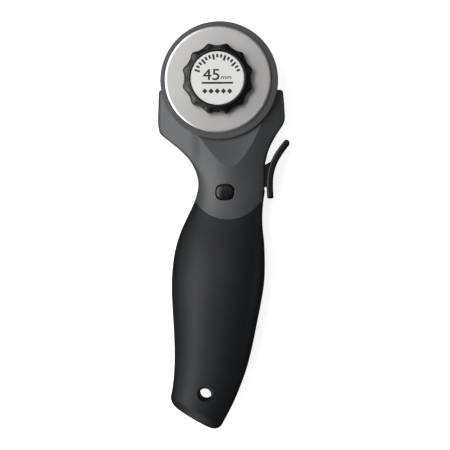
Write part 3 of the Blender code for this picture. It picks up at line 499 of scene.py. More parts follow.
class Nodes:
    """Builds one procedural material, on the object's own coordinates."""

    def __init__(self, name, colour, roughness, metallic=0.0, **sockets):
        self.material = bpy.data.materials.new(name)
        self.material.use_nodes = True
        self.tree = self.material.node_tree
        self.shader = self.tree.nodes["Principled BSDF"]
        self.shader.inputs["Base Color"].default_value = (*colour, 1.0)
        self.shader.inputs["Roughness"].default_value = roughness
        self.shader.inputs["Metallic"].default_value = metallic
        for socket, value in sockets.items():
            self.shader.inputs[socket.replace("_", " ")].default_value = value
        self.coordinates = self.tree.nodes.new("ShaderNodeTexCoord").outputs["Object"]
        self.material.diffuse_color = (*colour, 1.0)

    def link(self, output, target):
        self.tree.links.new(output, target)

    def add(self, kind, operation=None, **inputs):
        """A new node, with its operation and some of its inputs set."""
        node = self.tree.nodes.new("ShaderNode" + kind)
        if operation:
            node.operation = operation
        for socket, value in inputs.items():
            node.inputs[socket.replace("_", " ")].default_value = value
        return node

    def noise(self, scale, detail, stretch=(1.0, 1.0, 1.0), vector=None):
        """A noise texture, denser along an axis by its stretch."""
        mapping = self.add("Mapping", Scale=stretch)
        self.link(vector or self.coordinates, mapping.inputs["Vector"])
        node = self.add("TexNoise", Scale=scale, Detail=detail)
        self.link(mapping.outputs["Vector"], node.inputs["Vector"])
        return node.outputs["Fac"]

    def range(self, value, low, high):
        """The middle of a noise's range, spread out from low to high."""
        node = self.add("MapRange", From_Min=0.3, From_Max=0.7, To_Min=low, To_Max=high)
        self.link(value, node.inputs["Value"])
        return node.outputs["Result"]

    def vary_colour(self, colour, scale, darker, lighter, detail=2.0):
        """Broad, faint patches between a darker and a lighter share of a colour."""
        node = self.add("Mix")
        node.data_type = "RGBA"
        self.link(self.range(self.noise(scale, detail), 0.0, 1.0), node.inputs[0])
        node.inputs[6].default_value = (*(c * darker for c in colour), 1.0)
        node.inputs[7].default_value = (*(c * lighter for c in colour), 1.0)
        self.link(node.outputs[2], self.shader.inputs["Base Color"])

    def vary_roughness(self, value, low, high):
        self.link(self.range(value, low, high), self.shader.inputs["Roughness"])

    def bump(self, height, strength, distance):
        """Relief from a height, on top of any bump that is there already."""
        node = self.add("Bump", Strength=strength, Distance=distance)
        self.link(height, node.inputs["Height"])
        if self.shader.inputs["Normal"].links:
            self.link(self.shader.inputs["Normal"].links[0].from_socket, node.inputs["Normal"])
        self.link(node.outputs["Normal"], self.shader.inputs["Normal"])

    def around_axis(self):
        """Coordinates (angle, radius, height) about the blade's axis."""
        parts = self.add("SeparateXYZ")
        self.link(self.coordinates, parts.inputs[0])
        angle = self.add("Math", "ARCTAN2")
        self.link(parts.outputs["Y"], angle.inputs[0])
        self.link(parts.outputs["X"], angle.inputs[1])
        flat = self.add("VectorMath", "MULTIPLY")
        flat.inputs[1].default_value = (1.0, 1.0, 0.0)
        self.link(self.coordinates, flat.inputs[0])
        radius = self.add("VectorMath", "LENGTH")
        self.link(flat.outputs["Vector"], radius.inputs[0])
        joined = self.add("CombineXYZ")
        self.link(angle.outputs["Value"], joined.inputs["X"])
        self.link(radius.outputs["Value"], joined.inputs["Y"])
        self.link(parts.outputs["Z"], joined.inputs["Z"])
        return joined.outputs["Vector"]


def moulded(name, colour, roughness, grain, depth, spread=0.12, **sockets):
    """Moulded plastic or rubber: fine spark-eroded grain, and slight unevenness of tone and gloss."""
    nodes = Nodes(name, colour, roughness, **sockets)
    fine = nodes.noise(grain, 4.0)
    nodes.vary_colour(colour, 60.0, 1 - spread, 1 + spread)
    nodes.vary_roughness(fine, roughness - 0.05, roughness + 0.05)
    nodes.bump(fine, 0.25, depth)
    return nodes.material


def brushed(name, colour, roughness, stretch):
    """Metal with fine finishing marks, whose density along each axis is the stretch."""
    nodes = Nodes(name, colour, roughness, 1.0)
    marks = nodes.noise(1.0, 4.0, stretch)
    nodes.vary_colour(colour, 90.0, 0.96, 1.03)
    nodes.vary_roughness(marks, roughness - 0.06, roughness + 0.06)
    nodes.bump(marks, 0.2, 0.00001)
    return nodes.material


def blade_metal():
    """Satin sheet steel, whose ground edge carries fine radial grinding lines."""
    colour = (0.60, 0.59, 0.575)
    nodes = Nodes("blade_steel", colour, 0.34, 1.0)
    around = nodes.around_axis()
    grain = nodes.noise(1.0, 4.0, (5200.0, 900.0, 900.0))
    rays = nodes.noise(1.0, 3.0, (900.0, 60.0, 60.0), around)
    nodes.vary_colour(colour, 70.0, 0.96, 1.04, 3.0)
    nodes.vary_roughness(grain, 0.30, 0.40)
    nodes.bump(grain, 0.15, 0.00001)
    nodes.bump(rays, 0.04, 0.00001)
    return nodes.material


def build_materials():
    """All finishes by name. A moulded one is its colour, roughness, density of grain and depth of grain."""
    grey = ((0.060, 0.063, 0.066), 0.42, 2200.0, 0.00003)
    rubber = ((0.0105, 0.0115, 0.0145), 0.5, 2800.0, 0.00004)
    black = ((0.006, 0.006, 0.0074), 0.27, 2600.0, 0.00002)
    return {
        "grey": moulded("grey_plastic", *grey, Specular_IOR_Level=0.65),
        "guard": moulded("guard_plastic", *grey, Specular_IOR_Level=0.65),
        "rubber": moulded("soft_grip", *rubber, Specular_IOR_Level=0.38),
        "black": moulded("black_plastic", *black, Specular_IOR_Level=0.45),
        "steel": blade_metal(),
        "plate": brushed("slider_steel", (0.5, 0.5, 0.5), 0.4, (300.0, 4000.0, 300.0)),
        "bright": brushed("zinc_steel", (0.62, 0.63, 0.64), 0.32, (2500.0, 2500.0, 2500.0)),
        "brass": brushed("brass", (0.75, 0.55, 0.25), 0.35, (2500.0, 2500.0, 600.0)),
        "label": moulded("label_film", (0.93, 0.92, 0.88), 0.4, 3000.0, 0.00001, 0.03),
        "ink": moulded("label_ink", (0.012, 0.012, 0.014), 0.5, 3000.0, 0.00001),
    }


# Handle ---------------------------------------------------


def flat_height(y):
    """Height of the slanted flat cut across the head."""
    return FLAT_TIP[1] - FLAT_SLOPE * (y - FLAT_TIP[0])


def facet_height(x, y):
    """Height of the head's front facet: the slanted flat, very slightly hollow from side to side."""
    return flat_height(y) + FACET_HOLLOW * (x - RIDGE_X) ** 2


def across(y0, side, inset=0.0, shrink=0.0, drop=0.0, beyond=0.0, columns=COLUMNS):
    """Points across the front (side 1) or rear (-1) half, left to right, at places y0 down the handle.

    Inset is a distance inside the surface, shrink and drop are further in from the sides and from the top,
    and beyond carries a cutter on past the parting line.
    """
    y0 = np.broadcast_to(np.asarray(y0, float), (columns,))
    slant = TAIL_SLANT * ramp(-y0, -SLANT_FROM_Y, -TAIL_Y)
    left, right = left_at(y0 + slant), right_at(y0 - slant)
    middle, half = (left + right) / 2, (right - left) / 2
    parting = parting_at(y0)
    height = np.abs((crown_at if side > 0 else back_at)(y0) - parting)
    width, tall = half - inset - shrink, height - inset - shrink - drop - GAP / 2
    power = FRONT_ROUNDNESS if side > 0 else GRIP_BACK_ROUNDNESS + HEAD_BACK_SQUARER * ramp(y0, *BACK_Y)
    angle = np.linspace(0, math.pi, columns)
    cosine, sine = np.cos(angle), np.clip(np.sin(angle), 0, 1)
    share = -np.sign(cosine) * np.abs(cosine) ** (2 / power)
    xs = middle + width * share
    zs = tall * sine ** (2 / power)
    if side > 0:
        head = np.where(xs < RIDGE_X, ramp(y0, *RIDGE_LEFT_Y), ramp(y0, *RIDGE_RIGHT_Y))
        zs = zs + (ridge_height(y0, xs, middle, width, tall) - zs) * head
        if inset > 0:
            roof = np.maximum(flat_height(y0) - parting - inset, LEAST_ROOM)
            zs = np.where(y0 > RIDGE_LEFT_Y[0], np.minimum(zs, roof), zs)
    zs = np.maximum(zs, LIP)
    lip_x, lip_z = np.array(rounded_corner(LIP, LIP_STEPS)[1:]).T
    if beyond:
        lip_x, lip_z = 0 * lip_x, beyond * np.array(PAST_PARTING)
    xs = np.concatenate([xs[0] + lip_x[::-1], xs, xs[-1] - lip_x])
    zs = np.concatenate([lip_z[::-1], zs, lip_z])
    index = np.clip(np.arange(-LIP_STEPS, columns + LIP_STEPS), 0, columns - 1)
    ys = y0[index] - slant[index] * (xs - middle[index]) / half[index]
    return np.stack([xs, ys, parting[index] + side * (zs + GAP / 2)], axis=1)


def ridge_height(y0, xs, middle, width, tall):
    """Height over the head's front: a soft ridge that falls away to two upright edges."""
    away = xs - RIDGE_X
    facet = ramp(y0, *FACET_Y)
    softness, steepness = (
        np.where(away < 0, left, right + more * facet)
        for left, right, more in (RIDGE_SOFTNESS, RIDGE_STEEPNESS)
    )
    heights = tall + softness - np.sqrt(softness**2 + (steepness * away) ** 2)
    heights += EAR_STEP * ramp(y0, *EAR_STEP_Y) * (1 - ramp(xs, *EAR_STEP_X))
    heights -= EAR_FALL * np.maximum(EAR_STEP_X[0] - xs, 0.0)
    inside = np.clip(EAR_ROUND - (width - np.abs(xs - middle)), 0, EAR_ROUND)
    return heights - EAR_ROUND + np.sqrt(EAR_ROUND**2 - inside**2)


def seam_at(x):
    """Y of the seam between head and grip: a bowl in the middle and straight at the sides."""
    bowl = SEAM_CENTRE[1] - np.sqrt(np.maximum(SEAM_R**2 - (x - SEAM_CENTRE[0]) ** 2, 0.0))
    return np.minimum(bowl, SEAM_Y)


def seam_line(side):
    """Y of the seam for each column of the handle's surface, closed in on by repeated halving."""
    y0 = np.full(COLUMNS, SEAM_Y)
    for _ in range(25):
        row = across(y0, side)[LIP_STEPS:-LIP_STEPS]
        y0 = 0.5 * y0 + 0.5 * seam_at(row[:, 0])
    return y0


def tuck(distance, radius):
    """Depth of a rounded rim at a distance from its edge."""
    inside = min(max(radius - distance, 0), radius)
    return radius - math.sqrt(radius**2 - inside**2)


def between(start, end, side, inset, steps):
    """Rows in even steps from one line across the handle to another, without the first."""
    return [across(start + (end - start) * t, side, inset) for t in np.linspace(0, 1, steps + 1)[1:]]


def tail_rows(side, inset, end, rounding, steps):
    """Rows that round the butt off in plan, and slope its face like a bevel with a small soft edge."""
    rows = []
    for narrower, left in rounded_corner(rounding, steps):
        lower = TAIL_BEVEL * (rounding - max(left, TAIL_SOFT)) + tuck(left, TAIL_SOFT)
        rows.append(across(end + left, side, inset, narrower, lower - narrower))
    return rows


def housing_half(name, side):
    """Outer surface of one half: full size down to the seam, then a core inside the grip."""
    seam = seam_line(side)
    rows = [
        across(SHOULDER_Y - inward, side, 0.0, narrower)
        for inward, narrower in rounded_corner(SHOULDER_ROUND, 6)
    ]
    straight = np.concatenate([np.arange(*stretch) for stretch in HEAD_ROWS])
    rows += [across(y, side) for y in straight]
    rows += between(straight[-1], seam + HEAD_RIM, side, 0.0, 12)
    rows += [across(seam + d, side, tuck(d, HEAD_RIM)) for d in (0.07, 0.03, 0.0)]
    core = SKIN_T + GAP
    rows += [across(seam, side, core)]
    rows += between(seam, CORE_TURN_Y, side, core, 5)
    end = TAIL_Y + SKIN_T + CORE_SHORT
    rows += [across(y, side, core) for y in np.arange(CORE_TURN_Y + CORE_STEP, end + 2.0, CORE_STEP)]
    rows += tail_rows(side, core, end, INNER_TAIL_ROUND, 3)
    return lofted(name, rows)


def cavities(side):
    """Cutters for the hollow of the head and for the narrower one of the grip."""
    for name, inset, stretch in (
        ("hollow", WALL_T, HEAD_HOLLOW_Y), ("hollow_core", SKIN_T + GAP + WALL_T, GRIP_HOLLOW_Y),
    ):
        ys = np.arange(*stretch, CORE_STEP)
        yield "-", lofted(name, [across(y, side, inset, beyond=3.0, columns=33) for y in ys])


def trigger_window():
    """The opening in the side that the trigger comes through."""
    return "-", box("window", *WINDOW)


def hang_clearance():
    """Room in the hard core for the hang hole and the skin that lines it."""
    return "-", rod("hang", HOLE_R + SKIN_T + GAP, -5, 35, HOLE, 48)


def flared_hole(name, centre, radius, flare, low, high):
    """A cutter for a round hole whose two rims are rounded at the heights low and high."""
    top = [(radius + outward, high - down) for outward, down in rounded_corner(flare, 6)]
    bottom = [(r, low + high - z) for r, z in top[::-1]]
    under, over, wide = low - 4.0, high + 4.0, radius + flare
    profile = [(0.0, under), (wide, under), *bottom, *top, (wide, over), (0.0, over)]
    return turned(name, profile, centre, 96)


def on_facet(face):
    """Whether a face of the head lies on its hollow front facet."""
    heights = [v.co.z / MM - facet_height(v.co.x / MM, v.co.y / MM) for v in face.verts]
    return all(abs(h) < ON_FACET for h in heights) and face.normal.z > 0.9


def build_front_housing(materials):
    """The front shell with its slanted flat, the disc and boss under the guard, and its openings."""
    front = housing_half("head_front_shell", 1)
    reach = 45.0
    xs = np.linspace(-reach, reach, 61)
    flat = lofted("cut_flat", [
        [(x, y, facet_height(x, y)) for x in xs] + [(reach, y, 60.0), (-reach, y, 60.0)]
        for y in (12.0, -50.0)
    ])
    disc = rod("disc", HEAD_R, PARTING_HEAD + GAP / 2, HEAD_TOP, steps=128, edge=0.4)
    boss = rod("boss", BOSS_R, HEAD_TOP - 1, BOSS_TOP, steps=128, edge=0.2)
    leg = along_slide(LEG_FROM_AXIS[0]), along_slide(LEG_FROM_AXIS[1] + GUARD_TRAVEL)
    leg_slot = prism("leg_slot", slot_outline(*leg, LEG_HALF_W + LEG_CLEARANCE), (5.0, 25.0))
    hole = rounded_rectangle(BUTTON, [h + BUTTON_GAP for h in BUTTON_HALF], BUTTON_CORNER + BUTTON_GAP)
    surface = float(crown_at(BUTTON[1])) - 0.1
    button_hole = prism("button_hole", hole, (BUTTON_HOLE_FLOOR, surface), grow=BUTTON_HOLE_RIM)
    combine(
        front, ("-", flat), ("+", disc), *cavities(1), ("+", boss), ("-", rod("bore", BUSH_R + GAP, 0, 30)),
        ("-", leg_slot), ("-", button_hole), trigger_window(),
        ("+", rod("post", 2.2, HUB_Z[1] + GAP, 11.7, PIVOT, 32)), hang_clearance(),
    )
    shade(front, facet=on_facet)
    finish_piece(front, materials["grey"], "grey_shell", "housing", "front_housing")


def build_rear_housing(materials):
    """The back shell with its own disc, and a post and a sink for each screw."""
    rear = housing_half("head_rear_shell", -1)
    high, edge = PARTING_HEAD - GAP / 2, 0.6
    rim = [(HEAD_R - edge, HEAD_BACK), (HEAD_R, HEAD_BACK + edge)]
    floor = float(back_at(PIVOT[1])) + 1.2
    steps = [
        ("+", turned("disc", [(0, HEAD_BACK), *rim, (HEAD_R, high), (0, high)])), *cavities(-1),
        ("-", rod("bore", BOLT_R + GAP, 0, 30)), trigger_window(),
        ("+", rod("post", 3.0, floor, HUB_Z[0] - GAP, PIVOT, 32)),
        ("-", rod("stem", BUTTON_STEM_R + GAP, -5, 12, BUTTON, 48)), hang_clearance(),
    ]
    for i, place in enumerate(SCREWS, 1):
        back = float(back_at(place[1]))
        depth = SCREW_DEPTHS[0] if place[1] > SEAM_Y else SCREW_DEPTHS[1]
        steps.append(("+", rod(f"post_{i}", SCREW_POST_R, back + 2.6, high, place, 32)))
        steps.append(("-", rod(f"sink_{i}", SCREW_SINK_R, -6, back + depth + 1.9, place, 48)))
    combine(rear, *steps)
    shade(rear)
    finish_piece(rear, materials["grey"], "grey_shell", "housing", "rear_housing")


def grip_skin(name, side):
    """One soft skin as a closed shell, from the seam's rounded rim to the rounded butt."""
    seam = seam_line(side) - SEAM_GAP
    outer = [across(seam - d, side, tuck(d, GRIP_RIM)) for d in (0.0, 0.03, 0.08, GRIP_RIM)]
    outer += between(seam - GRIP_RIM, GRIP_TURN_Y, side, 0.0, 20)
    outer += [across(y, side) for y in np.arange(GRIP_TURN_Y - 1.0, TAIL_Y + TAIL_ROUND + 0.6, -1.0)]
    outer += tail_rows(side, 0.0, TAIL_Y, TAIL_ROUND, 15)
    inner = [across(seam, side, SKIN_T)]
    inner += between(seam, GRIP_TURN_Y, side, SKIN_T, 5)
    inner_ys = np.arange(GRIP_TURN_Y + CORE_STEP, TAIL_Y + SKIN_T - CORE_STEP, CORE_STEP)
    inner += [across(y, side, SKIN_T) for y in inner_ys]
    inner += tail_rows(side, SKIN_T, TAIL_Y + SKIN_T, INNER_TAIL_ROUND, 3)
    bm = bmesh.new()
    rings = skin_rows(bm, outer[::-1] + inner)
    outside, inside = rings[: len(outer)], rings[len(outer) :]
    for column in (0, -1):
        edge_out = [r[column] for r in outside[::-1]]
        edge_in = [r[column] for r in inside]
        bm.faces.new(edge_out + edge_in[::-1])
    bm.faces.new(outside[0])
    bm.faces.new(inside[-1])
    bm.faces.new((outside[0][0], outside[0][-1], inside[-1][-1], inside[-1][0]))
    return add_object(name, bm)


def build_grips(materials):
    """The two soft skins, each lining its half of the hang hole."""
    for name, side, node in (("grip_front_skin", 1, "front_grip"), ("grip_rear_skin", -1, "rear_grip")):
        skin = grip_skin(name, side)
        parting = float(parting_at(HOLE[1]))
        outside = float((crown_at if side > 0 else back_at)(HOLE[1]))
        low, high = sorted((parting + side * GAP / 2, outside - side * 1.0))
        rims = sorted((parting - side * 12.0, outside))
        steps = [
            ("+", rod("lining", HOLE_R + SKIN_T, low, high, HOLE)),
            ("-", flared_hole("hang", HOLE, HOLE_R, HOLE_FLARE, *rims)),
        ]
        if side < 0:
            for i, place in enumerate(SCREWS, 1):
                if place[1] < SEAM_Y:
                    steps.append(("-", rod(f"sink_{i}", SCREW_GRIP_R, -6, 8.0, place, 48)))
        combine(skin, *steps)
        shade(skin)
        finish_piece(skin, materials["rubber"], "soft_grip", "housing", node)


# Cutting head ---------------------------------------------


def build_blade(materials):
    """A sheet steel ring whose rim is ground from both faces to a thin edge, with soft shoulders."""
    low, high = BLADE_Z
    middle = (low + high) / 2
    shoulder, edge = BLADE_R - BLADE_GRIND, BLADE_R - 0.02
    front = [
        (BLADE_BORE_R, high), (shoulder - 0.3, high), (shoulder, high - 0.006), (shoulder + 0.2, high - 0.02),
        (edge, middle + 0.01),
    ]
    back = [(radius, low + high - z) for radius, z in front[::-1]]
    profile = [back[-1], *front, (BLADE_R, middle), *back[:-1]]
    blade = shade(turned("blade_disc", profile, steps=288, tube=True), 60.0)
    finish_piece(blade, materials["steel"], "blade_steel", "blade", "blade")


def knob_radius(angle, fade, fillet):
    """Radius of the knob's lobed edge: fade runs from full lobes (0) to the round collar (1)."""
    lobe = (0.5 + 0.5 * np.cos(KNOB_LOBES * (angle - KNOB_TURN))) ** LOBE_POWER
    edge = KNOB_VALLEY_R + (KNOB_PEAK_R - KNOB_VALLEY_R) * lobe - fillet
    return edge + (KNOB_COLLAR_R - edge) * fade


def build_knob(materials):
    """Rows of points up the lobed side, over the collar and down into the label's recess."""
    low, high = KNOB_Z
    angles = np.linspace(0, 2 * math.pi, KNOB_LOBES * 20, endpoint=False)
    levels = [(low + up, knob_radius(angles, 0.0, fillet)) for up, fillet in KNOB_FOOT]
    levels += [(high - down, knob_radius(angles, fade, fillet)) for down, fade, fillet in KNOB_SHOULDER]
    levels += [(high - down, KNOB_COLLAR_R - inward) for down, inward in KNOB_RIM]
    recess = LABEL_R + LABEL_GAP
    levels += [(high - down, recess + outward) for down, outward in RECESS_RIM]
    levels += [(LABEL_Z[0] - 0.05, recess)]
    directions = np.stack([np.cos(angles), np.sin(angles), 0 * angles])
    knob = lofted("knob_body", [(radius * directions).T + (0.0, 0.0, z) for z, radius in levels])
    pocket = rod("pocket", INSERT_POCKET_R, low - CUTTER_PAST, high - INSERT_POCKET_FLOOR)
    shade(combine(knob, ("-", pocket)), 40.0)
    finish_piece(knob, materials["black"], "black_plastic", "knob", "knob")


def text_mesh(name, words, size, place, z, wide, weight):
    """Flat printed characters as a thin solid, widened by a share and thickened by a weight."""
    curve = bpy.data.curves.new(name, "FONT")
    curve.body = words
    curve.size = size
    curve.bevel_depth = weight
    curve.extrude = PRINT_T / 2
    curve.resolution_u = 6
    obj = bpy.data.objects.new(name, curve)
    bpy.context.scene.collection.objects.link(obj)
    graph = bpy.context.evaluated_depsgraph_get()
    mesh = bpy.data.meshes.new_from_object(obj.evaluated_get(graph))
    bpy.data.objects.remove(obj)
    mesh.transform(Matrix.Translation((*place, z)) @ Matrix.Diagonal((wide, 1.0, 1.0, 1.0)))
    return mesh


def build_label(materials):
    """The pale disc, and its print: a size, a rule, an arc of ticks and a row of diamonds."""
    low, high = LABEL_Z
    disc = shade(rod("label_disc", LABEL_R, low, high, steps=192, edge=0.06), 40.0)
    finish_piece(disc, materials["label"], "label_plate", "knob", "knob_label")
    z = high + PRINT_T
    bm = bmesh.new()
    bm.from_mesh(text_mesh("size", "45", 6.6, (-6.1, -0.8), z, 1.12, 0.05))
    bm.from_mesh(text_mesh("unit", "mm", 2.5, (1.4, -0.5), z, 1.2, 0.02))
    bars = [((0.0, RULE_Y), RULE_SIZE, 0.0)]
    for degrees in range(20, 164, 10):
        angle = math.radians(degrees)
        length = LONG_TICK if degrees % 30 == 10 else SHORT_TICK
        middle = TICKS_R - length / 2
        bars.append(((middle * math.cos(angle), middle * math.sin(angle)), (length, TICK_W), angle))
    diamond = (DIAMOND_SIDE, DIAMOND_SIDE)
    bars += [((DIAMOND_PITCH * i, DIAMOND_Y), diamond, math.pi / 4) for i in range(-2, 3)]
    for place, size, turn in bars:
        at = Matrix.Translation((*place, z)) @ Matrix.Rotation(turn, 4, "Z")
        bmesh.ops.create_cube(bm, size=1.0, matrix=at @ Matrix.Diagonal((*size, PRINT_T, 1.0)))
    marks = add_object("label_print", bm)
    finish_piece(marks, materials["ink"], "label_plate", "knob")


def build_guard(materials):
    """The disc behind the blade: loops of points from the slot in its middle out to its rounded rim."""
    low, high = GUARD_TOP - GUARD_T, GUARD_TOP
    count = 192
    slot = slot_outline(along_slide(-GUARD_TRAVEL), (0.0, 0.0), BOSS_R + LEG_CLEARANCE, count // 2 - 1)
    start = math.atan2(slot[0][1], slot[0][0])
    angles = start + np.linspace(0, 2 * math.pi, count, endpoint=False)
    directions = np.stack([np.cos(angles), np.sin(angles)], axis=1)
    rows = [[(*p, z) for p in slot] for z in (low, high)]
    corner = rounded_corner(GUARD_RIM, 5)
    outer = [(GUARD_R - 4.0, high), (GUARD_R - 3.0, high)]
    outer += [(GUARD_R - inward, high - GUARD_FALL - down) for down, inward in corner]
    outer += [(GUARD_R - inward, low + up) for inward, up in corner]
    outer += [(GUARD_R - 4.0, low)]
    rows += [[(GUARD_CENTRE[0] + r * x, GUARD_CENTRE[1] + r * y, z) for x, y in directions] for r, z in outer]
    bm = bmesh.new()
    rings = skin_rows(bm, rows, around=True)
    for i in range(count):
        j = (i + 1) % count
        bm.faces.new((rings[-1][i], rings[-1][j], rings[0][j], rings[0][i]))
    guard = add_object("guard_disc", bm)
    leg = prism("leg", slot_outline(*map(along_slide, LEG_FROM_AXIS), LEG_HALF_W), (LEG_BOTTOM, high - 1.2))
    shade(combine(guard, ("+", leg)))
    finish_piece(guard, materials["guard"], "guard_plastic", "guard", "guard")


def build_bolt(materials):
    """A flat head, very slightly dished, whose rim rises in a soft curve, and a chamfered shank."""
    top = extent("axle_bolt", 2)[1]
    turn = np.radians(np.linspace(0, 90, 6))
    rim = [(BOLT_HEAD_R - 0.7 * (1 - math.sin(a)), 0.5 * (1 - math.cos(a))) for a in turn]
    edge = 0.4
    profile = [
        (0.0, 0.12), (BOLT_HEAD_R - 1.6, 0.0), *rim, (BOLT_HEAD_R, BOLT_HEAD_H), (BOLT_R, BOLT_HEAD_H),
        (BOLT_R, top - edge), (BOLT_R - edge, top), (0.0, top),
    ]
    bolt = shade(turned("axle_bolt_turned", profile, steps=96))
    finish_piece(bolt, materials["bright"], "zinc_steel", "housing", "axle_bolt")


def build_screws(materials):
    """Domed screws with a cross cut in each head."""
    for i, (x, y) in enumerate(SCREWS, 1):
        low, top = extent(f"housing_screw_{i}", 2)
        profile = [(r, low + up) for r, up in SCREW_HEAD] + [(SCREW_SHANK_R, top), (0, top)]
        screw = turned(f"screw_{i}_body", profile, (x, y), 64)
        spins = [Matrix.Rotation(math.radians(turn), 4, "Z") for turn in (45, 135)]
        shade(combine(screw, *(("-", box("cross", (x, y, low), SCREW_CROSS, spin)) for spin in spins)))
        finish_piece(screw, materials["bright"], "zinc_steel", "housing", f"housing_screw_{i}")


# Trigger, button and spring -------------------------------


def bow_outline():
    """A strip of even thickness along a smooth line, round at its upper end and squarer at its lower."""
    line_x, line_y = np.array(BOW_LINE[::-1], float).T
    ys = np.linspace(line_y[0], line_y[-1], 60)
    middle = np.stack([cubic(line_y, line_x, np.gradient(line_x, line_y), ys), ys], axis=1)
    heading = np.gradient(middle, axis=0)
    heading /= np.linalg.norm(heading, axis=1)[:, None]
    side = np.stack([heading[:, 1], -heading[:, 0]], axis=1) * BOW_T / 2
    turn = np.radians(np.linspace(0, 180, 15)[1:-1])
    outline = [*(middle + side)]
    outline += [middle[-1] + side[-1] * math.cos(a) + heading[-1] * BOW_T / 2 * math.sin(a) for a in turn]
    outline += [*(middle - side)[::-1]]
    for angle in turn:
        sideways = np.sign(math.cos(angle)) * abs(math.cos(angle)) ** 0.5
        outline.append(middle[0] - side[0] * sideways - heading[0] * 0.9 * math.sin(angle) ** 0.5)
    return outline


def build_trigger(materials):
    """The lever, and behind it the stem and bridge to its hub and the arm with the slot for the pin."""
    low, high = HUB_Z
    bow = prism("trigger_bow", bow_outline(), BOW_Z, BOW_EDGE, 5)
    along = (Vector(DRIVE_PIN) - Vector(PIVOT)).normalized()
    tip, *ends = (Vector(DRIVE_PIN) + along * reach for reach in (ARM_PAST_PIN, *DRIVE_SLOT_REACH))
    combine(
        bow,
        ("+", prism("stem", STEM, (low + 0.1, high - 0.1))),
        ("+", rod("hub", HUB_R, low, high, PIVOT, 48)),
        ("+", prism("arm", slot_outline(PIVOT, tip, ARM_HALF_W), ARM_Z)),
        ("+", prism("bridge", BRIDGE, (low + 0.2, high - 0.2))),
        ("-", rod("bore", PIVOT_BORE_R, 0, 20, PIVOT, 32)),
        ("-", prism("drive_slot", slot_outline(*ends, DRIVE_SLOT_HALF_W), (0, 20))),
    )
    shade(bow)
    finish_piece(bow, materials["black"], "black_plastic", "trigger", "trigger")


def build_button(materials):
    """A cap whose top is a shallow dome with a soft rim, on a round stem."""
    bottom, top = extent("lock_button", 2)
    levels = [(BUTTON_BACK, 1.0)] + [(top - down, share) for down, share in BUTTON_DOME]
    outline = rounded_rectangle((0, 0), BUTTON_HALF, BUTTON_CORNER)
    rows = [[(BUTTON[0] + x * s, BUTTON[1] + y * s, z) for x, y in outline] for z, s in levels]
    cap = lofted("lock_button_cap", rows)
    stem = rod("stem", BUTTON_STEM_R, bottom, BUTTON_BACK + 0.5, BUTTON, 48)
    shade(combine(cap, ("+", stem)))
    finish_piece(cap, materials["black"], "black_plastic", "lock", "lock_button")


def build_spring(materials):
    """A coil of round wire: rings of points carried along a helix."""
    start, end = SPRING_SPAN
    side = Vector((-SLIDE.y, SLIDE.x, 0.0))
    up = Vector((0.0, 0.0, 1.0))
    per_turn = 28
    steps = SPRING_TURNS * per_turn
    wire = circle(SPRING_WIRE_R, 10)
    rows = []
    for i in range(steps + 1):
        angle = 2 * math.pi * i / per_turn
        outward = side * math.cos(angle) + up * math.sin(angle)
        centre = SLIDE * (start + (end - start) * i / steps) + up * SPRING_Z + outward * SPRING_R
        rows.append([centre + outward * x + SLIDE * y for x, y in wire])
    spring = shade(lofted("return_spring_coil", rows), 60.0)
    finish_piece(spring, materials["bright"], "zinc_steel", "housing", "return_spring")
    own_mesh(spring)


def dress_cad_nodes(materials):
    """The hidden CAD pieces keep their shapes and get the same finishes."""
    finishes = {
        "guard_slider": "plate", "guard_drive_pin": "bright", "guard_screw": "bright", "blade_bush": "brass",
        "friction_washer": "bright", "trigger_pivot_pin": "bright", "knob_insert": "brass",
        "lock_detent_spring": "bright",
    }
    for name, finish in finishes.items():
        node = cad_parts[name]
        node.data.materials.clear()
        node.data.materials.append(materials[finish])


# Stage ----------------------------------------------------


def build_floor():
    """A pale floor with a little light of its own, which the cutter doesn't mirror."""
    nodes = Nodes("floor_white", (0.93, 0.93, 0.93), 0.9)
    nodes.shader.inputs["Emission Color"].default_value = (1.0, 1.0, 1.0, 1.0)
    nodes.shader.inputs["Emission Strength"].default_value = FLOOR_GLOW
    bm = bmesh.new()
    bmesh.ops.create_grid(bm, x_segments=2, y_segments=2, size=FLOOR_HALF)
    floor = add_object("floor", bm)
    floor.data.materials.append(nodes.material)
    floor.visible_diffuse = False
    floor.visible_glossy = False


def add_light(name, lean, distance, size, radiance, colour=(1.0, 1.0, 1.0)):
    """A soft box that leans from upright by degrees towards +X and +Y, and faces the cutter.

    Distance and size are in metres.
    """
    light = bpy.data.lights.new(name, "AREA")
    light.shape = "RECTANGLE"
    light.size, light.size_y = size
    light.energy = radiance * math.pi * size[0] * size[1]
    light.color = colour
    away = Vector((math.tan(math.radians(lean[0])), math.tan(math.radians(lean[1])), 1.0)).normalized()
    obj = bpy.data.objects.new(name, light)
    obj.location = LIGHT_AIM + away * distance
    obj.rotation_mode = "QUATERNION"
    obj.rotation_quaternion = away.to_track_quat("Z", "Y")
    bpy.context.scene.collection.objects.link(obj)


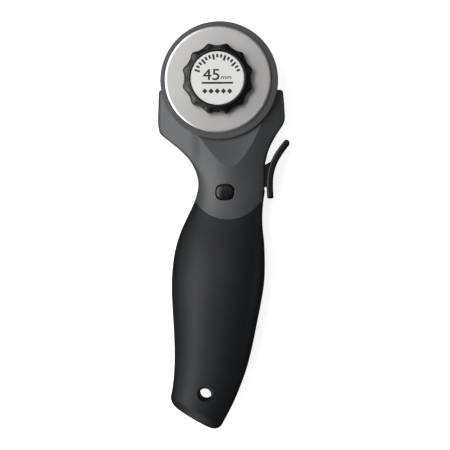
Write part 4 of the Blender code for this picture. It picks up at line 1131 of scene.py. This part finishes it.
def build_lights():
    """The soft boxes, and a world that is pale to the camera and dim to everything else."""
    add_light("key", (-31, 13), 1.2, (0.97, 0.83), 3.5)
    add_light("kicker", (-38, -22), 1.2, (0.35, 0.35), 7.0)
    add_light("top", (15, 14), 1.4, (0.38, 0.38), 0.9)
    add_light("left_strip", (-76, 0), 1.0, (0.8, 0.3), 1.2, (0.85, 0.93, 1.0))
    add_light("right_strip", (84, 0), 1.0, (1.0, 0.3), 0.7)
    add_light("head_strip", (0, 84), 1.0, (0.3, 1.0), 2.4)
    add_light("butt_strip", (-50, -68), 1.0, (0.4, 0.9), 2.4)
    world = bpy.data.worlds.new("studio")
    world.use_nodes = True
    background = world.node_tree.nodes["Background"]
    background.inputs["Color"].default_value = (1.0, 1.0, 1.0, 1.0)
    seen = world.node_tree.nodes.new("ShaderNodeLightPath")
    strength = world.node_tree.nodes.new("ShaderNodeMath")
    strength.operation = "MULTIPLY_ADD"
    strength.inputs[1].default_value = WORLD_BACKDROP
    strength.inputs[2].default_value = WORLD_LIGHT
    world.node_tree.links.new(seen.outputs["Is Camera Ray"], strength.inputs[0])
    world.node_tree.links.new(strength.outputs[0], background.inputs["Strength"])
    bpy.context.scene.world = world
    bpy.context.scene.view_settings.view_transform = "Standard"


def build_camera():
    """The photo's camera: a long lens almost straight above, with +Y up."""
    camera = bpy.data.objects.new("camera", bpy.data.cameras.new("camera"))
    camera.data.lens = CAMERA_LENS
    camera.data.sensor_width = SENSOR_W
    back = (CAMERA_PLACE - CAMERA_AIM).normalized()
    right = Vector((0.0, 1.0, 0.0)).cross(back).normalized()
    turned_to = Matrix((right, back.cross(right), back)).transposed()
    camera.matrix_world = Matrix.Translation(CAMERA_PLACE) @ turned_to.to_4x4()
    bpy.context.scene.collection.objects.link(camera)
    bpy.context.scene.camera = camera


def main():
    materials = build_materials()
    for build in (
        build_front_housing, build_rear_housing, build_grips, build_blade, build_knob, build_label,
        build_guard, build_bolt, build_screws, build_trigger, build_button, build_spring, dress_cad_nodes,
    ):
        build(materials)
    build_floor()
    build_lights()
    build_camera()


main()
